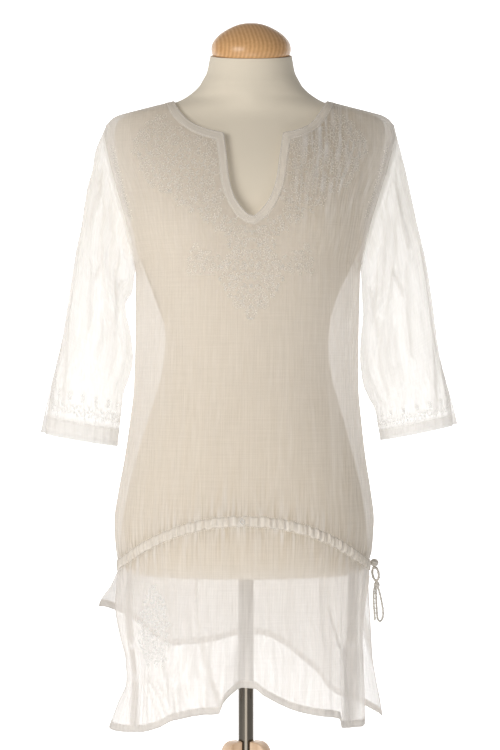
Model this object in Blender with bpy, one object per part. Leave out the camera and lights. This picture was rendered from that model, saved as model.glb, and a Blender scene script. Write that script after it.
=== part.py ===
"""A sheer tunic blouse on a dress form.

Metres, +Z up, the front facing -Y. The pieces are laid out round the stand's pole, then moved
together so that the middle of the base is the origin.
"""

import math
from typing import NamedTuple

import bmesh
import bpy
import numpy as np

# ---- driving dimensions -------------------------------------------------------------------

WALL = 0.0012            # cloth wall
HEM_WALL = 0.0020        # turned hems and bound edges
SEAM_GAP = 0.0004        # between two pieces that are sewn together
LIE_GAP = 0.0005         # between a panel and what lies on it
HEM_HEIGHT = 0.010       # turned hem of front and back
BAND_DROP = 0.012        # width of the neck band at the middle of the back

LEAN = 0.0148            # the form sits a little out of plumb on its pole, metres a metre
LEAN_PIVOT_Z = 0.980

SHOULDER_TIP_Z = 1.372
UNDERARM_Z = 1.168
NECK_POINT_Z = 1.405
NECK_POINT_X = 0.1085
BACK_NECK_Z = 1.388      # middle of the back neckline

CASING_HEIGHT = 0.014
CASING_SIDE_Z = 0.755    # top edge of the drawstring channel at the side seams
CASING_FRONT_Z = 0.8265  # and at the middle of the front
CASING_BACK_Z = 0.800

POLE_RADIUS = 0.011
POLE_FOOT_Z = 0.330
POLE_HEAD_Z = 0.840
POLE_CLEARANCE = 0.0003
FORM_BASE_Z = 0.737

LEG_TOP_Z = 0.4985
LEG_STRAIGHT_Z = 0.250   # the legs stand along the pole above this height
LEG_THICKNESS = 0.020
LEG_DEPTH = 0.024
LEG_REACH = 0.240
LEG_CURVE = 1.5
LEG_TOP_ROUND = 0.016
LEG_AZIMUTHS = (210.0, 330.0, 90.0)
HUB_FOOT_Z = 0.245
HUB_TIP_RADIUS = 0.0066
HUB_TIP_HEIGHT = 0.012
LEG_STEPS = 10

CORD_DIAMETER = 0.0026

HALF_COLUMNS = 24        # columns of the front from its middle to a side seam
ARM_ROWS = 12            # rows from the shoulder to the underarm
BACK_BAND_STEPS = 14     # places on the neck band from a shoulder to the middle of the back
FORM_SEGMENTS = 24
TURNED_SEGMENTS = 24

GATHER_WAVES = 12        # soft gathers in the front beside its channel
GATHER_DEPTH = 0.0028
GATHER_RISE = 0.010      # distance from the channel over which the gathers grow
GATHER_FADE = 0.034      # and over which they die away again
FOLD_RISE = 0.012        # distance from the channel over which the long folds grow
SEAM_CALM = 0.13         # radians beside a side seam that stay plain

CASING_PUCKERS = 36
BACK_CASING_PUCKERS = 18
CASING_CROWN = 0.0024    # the channel stands this far off the panel at its middle
PUCKER_HEIGHT = 0.0009
PUCKER_SHAPE = (1.0, -0.35, 0.1)
CASING_END = math.radians(88.0)


# ---- section tables -----------------------------------------------------------------------

class Section(NamedTuple):
    """One level cut: half width, depth of the front and back halves, squareness."""
    z: float
    half_width: float
    front: float
    back: float
    exponent: float


CLOTH_SECTIONS = (
    Section(1.4050, 0.1085, 0.0620, 0.0760, 1.50),
    Section(1.4020, 0.1230, 0.0620, 0.0765, 1.50),
    Section(1.3960, 0.1470, 0.0625, 0.0775, 1.50),
    Section(1.3900, 0.1705, 0.0635, 0.0785, 1.52),
    Section(1.3850, 0.1880, 0.0650, 0.0800, 1.56),
    Section(1.3790, 0.1975, 0.0680, 0.0820, 1.62),
    Section(1.3680, 0.2055, 0.0745, 0.0860, 1.72),
    Section(1.3450, 0.2115, 0.0900, 0.0930, 1.86),
    Section(1.3100, 0.2110, 0.1090, 0.1030, 2.00),
    Section(1.2750, 0.2030, 0.1240, 0.1110, 2.10),
    Section(1.2400, 0.1905, 0.1350, 0.1150, 2.15),
    Section(1.2000, 0.1730, 0.1400, 0.1140, 2.22),
    Section(1.1680, 0.1590, 0.1395, 0.1110, 2.28),
    Section(1.1200, 0.1585, 0.1335, 0.1080, 2.28),
    Section(1.0600, 0.1580, 0.1265, 0.1090, 2.25),
    Section(1.0000, 0.1590, 0.1230, 0.1140, 2.22),
    Section(0.9500, 0.1640, 0.1220, 0.1210, 2.20),
    Section(0.9000, 0.1705, 0.1225, 0.1265, 2.20),
    Section(0.8500, 0.1790, 0.1235, 0.1295, 2.20),
    Section(0.8110, 0.1838, 0.1235, 0.1300, 2.20),
    Section(0.7800, 0.1818, 0.1225, 0.1290, 2.20),
    Section(0.7550, 0.1785, 0.1210, 0.1275, 2.20),
    Section(0.7000, 0.1780, 0.1225, 0.1290, 2.20),
    Section(0.6200, 0.1765, 0.1245, 0.1300, 2.20),
    Section(0.5000, 0.1780, 0.1270, 0.1320, 2.20),
)

FORM_SECTIONS = (
    Section(1.4700, 0.0580, 0.0520, 0.0570, 2.00),
    Section(1.4590, 0.0600, 0.0525, 0.0580, 2.00),
    Section(1.4470, 0.0625, 0.0530, 0.0590, 2.00),
    Section(1.4360, 0.0680, 0.0540, 0.0605, 1.95),
    Section(1.4245, 0.0750, 0.0555, 0.0625, 1.85),
    Section(1.4170, 0.0835, 0.0565, 0.0640, 1.70),
    Section(1.4090, 0.0950, 0.0575, 0.0650, 1.52),
    Section(1.4030, 0.1065, 0.0580, 0.0665, 1.42),
    Section(1.3937, 0.1470, 0.0585, 0.0690, 1.42),
    Section(1.3880, 0.1690, 0.0590, 0.0705, 1.45),
    Section(1.3820, 0.1830, 0.0600, 0.0720, 1.50),
    Section(1.3740, 0.1900, 0.0630, 0.0745, 1.58),
    Section(1.3600, 0.1925, 0.0705, 0.0790, 1.72),
    Section(1.3400, 0.1905, 0.0815, 0.0850, 1.86),
    Section(1.3100, 0.1850, 0.0965, 0.0935, 2.00),
    Section(1.2800, 0.1775, 0.1075, 0.0995, 2.05),
    Section(1.2500, 0.1715, 0.1140, 0.1030, 2.10),
    Section(1.2150, 0.1650, 0.1165, 0.1040, 2.10),
    Section(1.1900, 0.1560, 0.1160, 0.1030, 2.10),
    Section(1.1650, 0.1440, 0.1130, 0.1005, 2.10),
    Section(1.1250, 0.1260, 0.1035, 0.0950, 2.10),
    Section(1.0870, 0.1170, 0.0945, 0.0920, 2.10),
    Section(1.0600, 0.1155, 0.0915, 0.0925, 2.10),
    Section(1.0200, 0.1200, 0.0930, 0.0970, 2.10),
    Section(0.9800, 0.1307, 0.0975, 0.1045, 2.12),
    Section(0.9400, 0.1425, 0.1020, 0.1110, 2.15),
    Section(0.8900, 0.1565, 0.1055, 0.1165, 2.18),
    Section(0.8400, 0.1675, 0.1065, 0.1185, 2.20),
    Section(0.8000, 0.1735, 0.1065, 0.1180, 2.20),
    Section(0.7650, 0.1750, 0.1060, 0.1165, 2.20),
    Section(0.7480, 0.1735, 0.1045, 0.1145, 2.20),
    Section(0.7400, 0.1680, 0.0995, 0.1095, 2.20),
    Section(0.7370, 0.1580, 0.0905, 0.1005, 2.20),
)


class YokeRow(NamedTuple):
    """Neckline point and outer edge of the neck band in the front view, for x >= 0."""
    edge_x: float
    edge_z: float
    band_x: float
    band_z: float


# from the neck point over the chest to the notch's corner, then down the notch to its bottom
YOKE_ROWS = (
    YokeRow(0.1085, 1.4050, 0.1205, 1.4025),
    YokeRow(0.1070, 1.4020, 0.1187, 1.3985),
    YokeRow(0.1035, 1.3950, 0.1150, 1.3900),
    YokeRow(0.0968, 1.3830, 0.1075, 1.3765),
    YokeRow(0.0870, 1.3700, 0.0955, 1.3615),
    YokeRow(0.0745, 1.3605, 0.0800, 1.3500),
    YokeRow(0.0585, 1.3538, 0.0620, 1.3420),
    YokeRow(0.0402, 1.3493, 0.0515, 1.3388),
    YokeRow(0.0361, 1.3196, 0.0480, 1.3180),
    YokeRow(0.0311, 1.2806, 0.0430, 1.2785),
    YokeRow(0.0242, 1.2566, 0.0355, 1.2515),
    YokeRow(0.0141, 1.2387, 0.0215, 1.2285),
    YokeRow(0.0000, 1.2306, 0.0000, 1.2180),
)


class EdgePoint(NamedTuple):
    """A place on an edge, in the front view."""
    z: float
    x: float


ARMHOLE = (
    EdgePoint(1.3720, 0.2030),
    EdgePoint(1.3580, 0.2040),
    EdgePoint(1.3300, 0.1985),
    EdgePoint(1.3010, 0.1905),
    EdgePoint(1.2700, 0.1810),
    EdgePoint(1.2385, 0.1715),
    EdgePoint(1.2100, 0.1645),
    EdgePoint(1.1875, 0.1605),
    EdgePoint(1.1680, 0.1590),
)


class HemPoint(NamedTuple):
    """Height of a hem at a place across the body."""
    x: float
    z: float


FRONT_HEM = (
    HemPoint(-0.190, 0.5165),
    HemPoint(-0.140, 0.5270),
    HemPoint(-0.112, 0.5370),
    HemPoint(-0.091, 0.5490),
    HemPoint(-0.061, 0.5567),
    HemPoint(-0.030, 0.5670),
    HemPoint(-0.016, 0.5830),
    HemPoint(0.000, 0.5945),
    HemPoint(0.015, 0.5945),
    HemPoint(0.032, 0.5835),
    HemPoint(0.070, 0.5640),
    HemPoint(0.097, 0.5530),
    HemPoint(0.133, 0.5420),
    HemPoint(0.165, 0.5280),
    HemPoint(0.190, 0.5230),
)

BACK_HEM = (
    HemPoint(-0.190, 0.6900),
    HemPoint(-0.160, 0.6650),
    HemPoint(-0.130, 0.6330),
    HemPoint(-0.100, 0.6150),
    HemPoint(-0.050, 0.6180),
    HemPoint(0.000, 0.6280),
    HemPoint(0.030, 0.6200),
    HemPoint(0.060, 0.6010),
    HemPoint(0.090, 0.5870),
    HemPoint(0.120, 0.5650),
    HemPoint(0.150, 0.5450),
    HemPoint(0.190, 0.5290),
)


class EdgeDrift(NamedTuple):
    """How far each free side edge stands out past its section below the casing."""
    z: float
    front_left: float
    front_right: float
    back_left: float
    back_right: float


EDGE_DRIFT = (
    EdgeDrift(1.500, 0.000, 0.000, 0.000, 0.000),
    EdgeDrift(0.745, 0.000, 0.000, 0.000, 0.000),
    EdgeDrift(0.720, 0.001, -0.002, 0.009, 0.000),
    EdgeDrift(0.690, 0.003, -0.005, 0.027, 0.002),
    EdgeDrift(0.650, 0.003, -0.007, 0.030, 0.006),
    EdgeDrift(0.615, -0.006, -0.005, 0.030, 0.009),
    EdgeDrift(0.585, -0.008, -0.004, 0.030, 0.014),
    EdgeDrift(0.555, 0.003, -0.003, 0.030, 0.020),
    EdgeDrift(0.515, 0.011, -0.003, 0.030, 0.026),
)
SLIT_SPREAD = 0.010      # how far the free edges of front and back stand apart at the hem
SLIT_LENGTH = 0.22
EDGE_SHARPNESS = 8.0     # how close to the edge that drift and spread keep


class Fold(NamedTuple):
    """A soft crease in a panel, from its upper to its lower end; positive stands out."""
    upper_x: float
    upper_z: float
    lower_x: float
    lower_z: float
    depth: float
    width: float


FRONT_FOLDS = (
    Fold(-0.158, 0.715, -0.146, 0.500, -0.0060, 0.013),
    Fold(-0.020, 0.690, -0.026, 0.540, 0.0070, 0.013),
    Fold(0.004, 0.680, 0.002, 0.560, -0.0045, 0.013),
    Fold(-0.088, 0.730, -0.083, 0.510, 0.0045, 0.016),
    Fold(0.052, 0.735, 0.062, 0.530, -0.0035, 0.014),
    Fold(0.103, 0.720, 0.116, 0.500, 0.0050, 0.016),
    Fold(0.148, 0.740, 0.150, 0.500, -0.0045, 0.013),
    Fold(-0.120, 1.110, -0.138, 0.850, 0.0040, 0.018),
    Fold(-0.052, 1.060, -0.062, 0.830, 0.0025, 0.018),
    Fold(0.060, 1.080, 0.072, 0.840, 0.0025, 0.018),
    Fold(0.124, 1.120, 0.140, 0.830, 0.0045, 0.016),
)

BACK_FOLDS = (
    Fold(-0.110, 1.150, -0.120, 0.850, 0.0045, 0.020),
    Fold(-0.040, 1.120, -0.050, 0.830, 0.0035, 0.022),
    Fold(0.045, 1.140, 0.052, 0.840, 0.0040, 0.022),
    Fold(0.112, 1.120, 0.126, 0.830, 0.0045, 0.020),
    Fold(-0.125, 0.750, -0.120, 0.560, 0.0055, 0.018),
    Fold(-0.060, 0.740, -0.055, 0.560, -0.0050, 0.020),
    Fold(0.020, 0.740, 0.022, 0.560, 0.0055, 0.020),
    Fold(0.095, 0.750, 0.100, 0.500, -0.0050, 0.020),
    Fold(0.145, 0.740, 0.150, 0.500, 0.0045, 0.016),
)


class SleeveRing(NamedTuple):
    """A cut across a sleeve: its outer and inner points in the front view, half its depth."""
    outer_x: float
    outer_z: float
    inner_x: float
    inner_z: float
    depth: float


LEFT_SLEEVE_RINGS = (
    SleeveRing(0.2194, 1.3152, 0.1616, 1.1500, 0.0560),
    SleeveRing(0.2300, 1.2712, 0.1625, 1.1278, 0.0530),
    SleeveRing(0.2376, 1.2371, 0.1645, 1.1065, 0.0510),
    SleeveRing(0.2451, 1.2087, 0.1636, 1.0866, 0.0490),
    SleeveRing(0.2542, 1.1689, 0.1614, 1.0640, 0.0470),
    SleeveRing(0.2620, 1.1207, 0.1614, 1.0383, 0.0450),
    SleeveRing(0.2699, 1.0667, 0.1660, 1.0056, 0.0430),
    SleeveRing(0.2768, 1.0312, 0.1746, 0.9843, 0.0415),
    SleeveRing(0.2888, 0.9929, 0.1841, 0.9659, 0.0400),
    SleeveRing(0.3015, 0.9474, 0.1918, 0.9247, 0.0390),
)

RIGHT_SLEEVE_RINGS = (
    SleeveRing(0.2183, 1.3365, 0.1616, 1.1530, 0.0560),
    SleeveRing(0.2228, 1.3080, 0.1642, 1.1334, 0.0530),
    SleeveRing(0.2302, 1.2783, 0.1725, 1.1207, 0.0510),
    SleeveRing(0.2379, 1.2243, 0.1715, 1.1008, 0.0490),
    SleeveRing(0.2445, 1.1917, 0.1662, 1.0809, 0.0470),
    SleeveRing(0.2509, 1.1448, 0.1631, 1.0596, 0.0450),
    SleeveRing(0.2574, 1.0994, 0.1616, 1.0369, 0.0430),
    SleeveRing(0.2639, 1.0582, 0.1674, 1.0113, 0.0415),
    SleeveRing(0.2759, 1.0099, 0.1748, 0.9858, 0.0400),
    SleeveRing(0.2918, 0.9354, 0.1816, 0.9162, 0.0390),
)
SLIT_TOP_RING = 8.0      # the outer slit starts here, counted in rings from the armhole
SLIT_ANGLE = math.radians(4.0)


class SleeveFold(NamedTuple):
    """A soft lengthwise crease in a sleeve, in rings and degrees from its outer edge."""
    from_ring: float
    to_ring: float
    from_angle: float
    to_angle: float
    depth: float
    width: float


SLEEVE_FOLDS = (
    SleeveFold(0.5, 7.0, 75.0, 95.0, -0.0060, 20.0),
    SleeveFold(1.0, 9.0, 48.0, 40.0, 0.0045, 18.0),
    SleeveFold(3.0, 9.6, 120.0, 135.0, 0.0050, 20.0),
    SleeveFold(1.0, 8.0, 230.0, 240.0, 0.0050, 22.0),
    SleeveFold(2.0, 9.6, 285.0, 275.0, -0.0060, 22.0),
)

CAP_PROFILE = (          # radius and height of the turned cap
    (0.0545, 0.0000), (0.0562, 0.0050), (0.0568, 0.0120), (0.0550, 0.0210), (0.0505, 0.0285),
    (0.0435, 0.0350), (0.0345, 0.0400), (0.0235, 0.0440), (0.0110, 0.0460),
)
CAP_TILT = math.radians(14.5)

# the drawstring's tied ends at the wearer's left hip, measured from the pole
TIE_KNOT_UPPER = (0.1817, -0.0092, 0.7515)
TIE_KNOT_LOWER = (0.1846, -0.0150, 0.7205)
TIE_KNOT_RADII = ((0.0042, 0.0040, 0.0042), (0.0036, 0.0036, 0.0040))
TIE_BOW_ACROSS = (0.0032, -0.0028, 0.0)
TIE_BOW_POINTS = 14
TIE_LOOP_ROUTE = (
    (0.1868, -0.0132, 0.7162), (0.1888, -0.0122, 0.7095), (0.1908, -0.0112, 0.7010),
    (0.1926, -0.0104, 0.6920), (0.1938, -0.0100, 0.6840), (0.1939, -0.0103, 0.6770),
    (0.1921, -0.0117, 0.6712), (0.1893, -0.0137, 0.6692), (0.1866, -0.0156, 0.6714),
    (0.1851, -0.0167, 0.6775), (0.1846, -0.0171, 0.6850), (0.1840, -0.0172, 0.6940),
    (0.1836, -0.0170, 0.7040), (0.1835, -0.0163, 0.7120), (0.1836, -0.0158, 0.7162),
)
TIE_END_ROUTE = (
    (0.1815, -0.0175, 0.7179), (0.1802, -0.0198, 0.7120), (0.1797, -0.0222, 0.7020),
    (0.1800, -0.0230, 0.6920), (0.1809, -0.0228, 0.6820), (0.1815, -0.0222, 0.6712),
)
CORD_SPACING = 0.0065    # between two points of a cord's solid


# ---- small maths --------------------------------------------------------------------------

def smooth_read(rows, column, at):
    """Read a named column of a table on a smooth curve through its rows, at its first column."""
    key = rows[0]._fields[0]
    table = sorted(rows, key=lambda row: getattr(row, key))
    keys = np.array([getattr(row, key) for row in table])
    values = np.array([getattr(row, column) for row in table])
    at = np.clip(np.asarray(at, dtype=float), keys[0], keys[-1])
    steps = np.diff(keys)
    slopes = np.diff(values) / steps
    tangents = np.concatenate([[slopes[0]], np.zeros(len(slopes) - 1), [slopes[-1]]])
    same_way = slopes[:-1] * slopes[1:] > 0
    harmonic = 2 * slopes[:-1] * slopes[1:] / np.where(same_way, slopes[:-1] + slopes[1:], 1.0)
    tangents[1:-1] = np.where(same_way, harmonic, 0.0)
    i = np.clip(np.searchsorted(keys, at, side="right") - 1, 0, len(steps) - 1)
    t = (at - keys[i]) / steps[i]
    rise = t * t * (3 - 2 * t)
    return (values[i] * (1 - rise) + values[i + 1] * rise
            + steps[i] * t * (1 - t) * ((1 - t) * tangents[i] - t * tangents[i + 1]))


def signed_power(base, exponent):
    """Raise to a power and keep the sign."""
    return np.sign(base) * np.abs(base) ** exponent


def lean(points):
    """Tilt points with the form on its pole."""
    moved = np.array(points, dtype=float)
    moved[..., 0] += LEAN * (moved[..., 2] - LEAN_PIVOT_Z)
    return moved


def section_point(rows, angle, z, back):
    """A point on a section table's surface; angle 0 is the middle, a quarter turn the side."""
    half_width = smooth_read(rows, "half_width", z)
    depth = smooth_read(rows, "back" if back else "front", z)
    power = 2.0 / smooth_read(rows, "exponent", z)
    x = half_width * signed_power(np.sin(angle), power)
    y = depth * signed_power(np.cos(angle), power) * (1 if back else -1)
    return np.stack([x, y, z + 0 * x], axis=-1)


def angle_at(x, z):
    """The angle on the cloth's section at a place in the front view."""
    ratio = np.clip(np.abs(x) / smooth_read(CLOTH_SECTIONS, "half_width", z), 0.0, 1.0)
    half_exponent = smooth_read(CLOTH_SECTIONS, "exponent", z) / 2.0
    return np.sign(x) * np.arcsin(ratio ** half_exponent)


def surface_normal(surface, angle, z, back):
    """Outward unit normal of a surface of angle and height, by central differences."""
    turn, rise = 2e-3, 4e-4
    across = surface(angle + turn, z, back) - surface(angle - turn, z, back)
    up = surface(angle, z + rise, back) - surface(angle, z - rise, back)
    normal = np.cross(across, up) * (-1 if back else 1)
    return normal / np.linalg.norm(normal, axis=-1, keepdims=True)


# ---- the cloth's surface ------------------------------------------------------------------

def casing_top(angle, back):
    """Height of the drawstring channel's top edge."""
    middle = CASING_BACK_Z if back else CASING_FRONT_Z
    return middle + (CASING_SIDE_Z - middle) * np.sin(angle) ** 2


def off_channel(angle, z, back):
    """Distance up or down from the drawstring channel's nearer edge; less than 0 inside it."""
    middle = casing_top(angle, back) - CASING_HEIGHT / 2
    return np.abs(z - middle) - CASING_HEIGHT / 2


def off_seam(angle):
    """0 at a side seam, 1 from a little way off it."""
    return np.clip((math.pi / 2 - np.abs(angle)) / SEAM_CALM, 0.0, 1.0)


def gathers(angle, z, back):
    """Soft waves that run out above and below the drawstring channel, fuller at the sides."""
    away = off_channel(angle, z, back)
    grow = np.clip(away / GATHER_RISE, 0.0, 1.0)
    fade = np.exp(-np.clip(away - GATHER_RISE, 0.0, None) / GATHER_FADE)
    wave = np.sin(2 * GATHER_WAVES * (angle + math.pi / 2))
    uneven = 0.65 + 0.35 * np.sin(5.3 * angle + 1.1)
    fuller = 0.55 + 0.45 * np.sin(angle) ** 2
    return GATHER_DEPTH * wave * uneven * fuller * grow * fade * off_seam(angle)


def folds(angle, z, back):
    """The panels' own soft creases; those in the skirt run on to the hem."""
    x = section_point(CLOTH_SECTIONS, angle, z, back)[..., 0]
    total = 0.0 * x
    for fold in BACK_FOLDS if back else FRONT_FOLDS:
        t = (fold.upper_z - z) / (fold.upper_z - fold.lower_z)
        line = fold.upper_x + (fold.lower_x - fold.upper_x) * t
        if fold.upper_z > CASING_SIDE_Z:
            along = np.sin(math.pi * np.clip(t, 0.0, 1.0)) ** 0.7
        else:
            along = np.clip(t * 2.5, 0.0, 1.0)
        total = total + fold.depth * along * np.exp(-((x - line) / fold.width) ** 2)
    return total * np.clip(off_channel(angle, z, back) / FOLD_RISE, 0.0, 1.0) * off_seam(angle)


def hanging_cloth(angle, z, back):
    """The cloth's outer surface before it leans: section, gathers, folds and free side edges."""
    def bare(turn, height, rear):
        return section_point(CLOTH_SECTIONS, turn, height, rear)

    point = bare(angle, z, back)
    relief = gathers(angle, z, back) + folds(angle, z, back)
    point = point + surface_normal(bare, angle, z, back) * relief[..., None]
    side = "back" if back else "front"
    drift = np.where(np.asarray(angle) < 0, smooth_read(EDGE_DRIFT, side + "_left", z),
                     smooth_read(EDGE_DRIFT, side + "_right", z))
    near_edge = np.abs(np.sin(angle)) ** EDGE_SHARPNESS
    below = np.clip((CASING_SIDE_Z - CASING_HEIGHT - z) / SLIT_LENGTH, 0.0, 1.0)
    point[..., 0] += np.sign(angle) * drift * near_edge
    away = 1 if back else -1
    point[..., 1] += away * (SEAM_GAP / 2 + SLIT_SPREAD / 2 * below * near_edge)
    return point


def cloth(angle, z, back):
    """The cloth's outer surface in place."""
    return lean(hanging_cloth(angle, z, back))


# ---- objects ------------------------------------------------------------------------------

FINISHES = {             # colour, roughness, metallic
    "voile": ((0.88, 0.87, 0.84), 0.85, 0.0),
    "voile_band": ((0.86, 0.84, 0.80), 0.85, 0.0),
    "cord": ((0.84, 0.82, 0.78), 0.80, 0.0),
    "jersey": ((0.72, 0.66, 0.56), 0.90, 0.0),
    "beech": ((0.62, 0.42, 0.24), 0.45, 0.0),
    "chrome": ((0.80, 0.80, 0.80), 0.12, 1.0),
}


def give_finish(obj, finish):
    """Give an object its own material."""
    colour, roughness, metallic = FINISHES[finish]
    material = bpy.data.materials.new(obj.name + "_" + finish)
    material.use_nodes = True
    shader = material.node_tree.nodes["Principled BSDF"]
    shader.inputs["Base Color"].default_value = (*colour, 1.0)
    shader.inputs["Roughness"].default_value = roughness
    shader.inputs["Metallic"].default_value = metallic
    obj.data.materials.append(material)


def make_object(name, mesh_maker, finish):
    """Turn a filled bmesh into a named, smooth-shaded object."""
    mesh = bpy.data.meshes.new(name)
    mesh_maker.to_mesh(mesh)
    mesh_maker.free()
    mesh.shade_smooth()
    mesh.set_sharp_from_angle(angle=math.radians(40.0))
    obj = bpy.data.objects.new(name, mesh)
    bpy.context.scene.collection.objects.link(obj)
    give_finish(obj, finish)
    return obj


def shell(name, outer, inner, cells, finish):
    """A closed wall: outer points, the inner points behind them, and the cells they span.

    Each cell goes counter-clockwise seen from outside. The wall is closed along free edges.
    """
    bm = bmesh.new()
    outer_verts = [bm.verts.new(point) for point in outer]
    inner_verts = [bm.verts.new(point) for point in inner]
    directed = set()
    for cell in cells:
        directed.update(zip(cell, cell[1:] + cell[:1]))
        bm.faces.new([outer_verts[i] for i in cell])
        bm.faces.new([inner_verts[i] for i in reversed(cell)])
    for a, b in sorted(directed):
        if (b, a) not in directed:
            bm.faces.new([outer_verts[b], outer_verts[a], inner_verts[a], inner_verts[b]])
    return make_object(name, bm, finish)


def lathe(name, profile, finish, place=None):
    """A turned piece: radius and height pairs from the foot up, closed by a fan at each end."""
    bm = bmesh.new()
    rings = []
    for radius, height in profile:
        ring = []
        for k in range(TURNED_SEGMENTS):
            angle = 2 * math.pi * k / TURNED_SEGMENTS
            ring.append(bm.verts.new((radius * math.cos(angle), radius * math.sin(angle), height)))
        rings.append(ring)
    for lower, upper in zip(rings, rings[1:]):
        for k in range(TURNED_SEGMENTS):
            after = (k + 1) % TURNED_SEGMENTS
            bm.faces.new((lower[k], lower[after], upper[after], upper[k]))
    bm.faces.new(list(reversed(rings[0])))
    bm.faces.new(rings[-1])
    if place is not None:
        place(bm)
    return make_object(name, bm, finish)


# ---- body panels --------------------------------------------------------------------------

def arm_z(row):
    """Height of an armhole row, closer together at the shoulder and the underarm."""
    middle = (SHOULDER_TIP_Z + UNDERARM_Z) / 2
    half = (SHOULDER_TIP_Z - UNDERARM_Z) / 2
    return middle + half * math.cos(math.pi * row / ARM_ROWS)


def arm_angle(row):
    """Angle on the section of an armhole row; both ends are on the seams."""
    if row in (0, ARM_ROWS):
        return math.pi / 2
    z = arm_z(row)
    return float(angle_at(smooth_read(ARMHOLE, "x", z), z))


def front_yoke_row(row, share):
    """Angles and heights from the neckline to the armhole; share runs from 0 to 1."""
    spread = np.sin(share * math.pi / 2) ** YOKE_SPREAD
    inner, outer_z = YOKE_ROWS[row], arm_z(row)
    z = inner.edge_z + (outer_z - inner.edge_z) * spread
    if row == 0:
        return np.full(len(share), math.pi / 2), z
    outer_x = smooth_read(ARMHOLE, "x", outer_z)
    x = inner.edge_x + (outer_x - inner.edge_x) * spread
    angle = angle_at(x, z)
    angle[-1] = arm_angle(row)
    return angle, z


def back_neckline(x):
    """Height of the back neckline's edge at a place across it."""
    return BACK_NECK_Z + (NECK_POINT_Z - BACK_NECK_Z) * (x / NECK_POINT_X) ** 2


def back_yoke_row(row, share):
    """Angles and heights across the back from its middle to the armhole."""
    spread = np.sin(share * math.pi / 2) ** YOKE_SPREAD
    outer_z = arm_z(row)
    top_x = smooth_read(ARMHOLE, "x", SHOULDER_TIP_Z) * spread
    on_ridge = top_x >= NECK_POINT_X
    ridge = [HemPoint(section.half_width, section.z) for section in CLOTH_SECTIONS
             if section.z > SHOULDER_TIP_Z - HEM_HEIGHT]
    top_z = np.where(on_ridge, smooth_read(ridge, "z", top_x), back_neckline(top_x))
    drop = (outer_z - UNDERARM_Z) / (SHOULDER_TIP_Z - UNDERARM_Z)
    z = UNDERARM_Z + (top_z - UNDERARM_Z) * drop
    x = smooth_read(ARMHOLE, "x", outer_z) * spread
    angle = angle_at(x, z)
    if row == 0:
        angle = np.where(on_ridge, math.pi / 2, angle)
    angle[-1] = arm_angle(row)
    return angle, z


# where a panel's columns lie between its middle and a side seam; a third is the neck point
FRONT_SHARES = np.linspace(0.0, 1.0, HALF_COLUMNS + 1)
BACK_SHARES = np.array((0.0, 0.08, 0.15, 0.21, 0.26, 0.30, 0.3334, 0.37, 0.42, 0.50,
                        0.59, 0.68, 0.77, 0.86, 0.94, 1.0))
YOKE_SPREAD = 0.9
# where its rows lie from the underarm to the channel, and from there to the hem's fold line
FRONT_BODY_STEPS = (0.15, 0.33, 0.51, 0.68, 0.80, 0.885, 0.956, 1.0)
BACK_BODY_STEPS = (0.15, 0.32, 0.50, 0.68, 0.84, 0.95, 1.0)
SKIRT_STEPS = (0.075, 0.20, 0.38, 0.58, 0.78, 1.0)
SKIRT_MIDDLE_Z = 0.600
SKIRT_FLARE = 0.010


def skirt_rows(angle, back):
    """Heights of the rows from the channel's lower edge to the hem's fold line and the hem."""
    top = casing_top(angle, back) - CASING_HEIGHT
    level = np.full(len(angle), SKIRT_MIDDLE_Z)
    x = section_point(CLOTH_SECTIONS, angle, level, back)[..., 0]
    x = x + np.sign(x) * SKIRT_FLARE * np.abs(np.sin(angle)) ** EDGE_SHARPNESS
    hem = smooth_read(BACK_HEM if back else FRONT_HEM, "z", x)
    rows = [top + (hem + HEM_HEIGHT - top) * step for step in SKIRT_STEPS]
    return [top] + rows + [hem]


def half_panel(back):
    """Rows of angles and heights for one half of a panel, and the angles below the armhole."""
    share = BACK_SHARES if back else FRONT_SHARES
    yoke_row = back_yoke_row if back else front_yoke_row
    rows = [yoke_row(row, share) for row in range(ARM_ROWS + 1)]
    level = share * math.pi / 2
    start = rows[-1][1]
    end = casing_top(level, back)
    for step in BACK_BODY_STEPS if back else FRONT_BODY_STEPS:
        rows.append((level, start + (end - start) * step))
    return rows, level


def panel(name, back):
    """Front or back of the tunic: two halves that share their middle where they are joined."""
    columns = len(BACK_SHARES if back else FRONT_SHARES) - 1
    first_joined = 0 if back else ARM_ROWS
    halves = {}
    for side in (1, -1):
        rows, level = half_panel(back)
        signed = [(side * angle, z) for angle, z in rows]
        signed += [(side * level, z) for z in skirt_rows(side * level, back)]
        halves[side] = signed
    outer, inner, index = [], [], {}
    last_row = len(halves[1]) - 1
    for side in (1, -1):
        for r, (angle, z) in enumerate(halves[side]):
            points = cloth(angle, z, back)
            normals = surface_normal(cloth, angle, z, back)
            extra = HEM_WALL - WALL if r == last_row else 0.0
            for c in range(columns + 1):
                if c == 0 and side == -1 and r >= first_joined:
                    index[side, r, c] = index[1, r, 0]
                    continue
                index[side, r, c] = len(outer)
                outer.append(points[c] + normals[c] * extra)
                inner.append(points[c] - normals[c] * WALL)
    cells = []
    for side in (1, -1):
        for r in range(last_row):
            for c in range(columns):
                cell = [index[side, r, c], index[side, r + 1, c],
                        index[side, r + 1, c + 1], index[side, r, c + 1]]
                if (side > 0) == back:
                    cell.reverse()
                cells.append(cell)
    return shell(name, outer, inner, cells, "voile")


# ---- strips that lie on the panels --------------------------------------------------------

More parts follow.
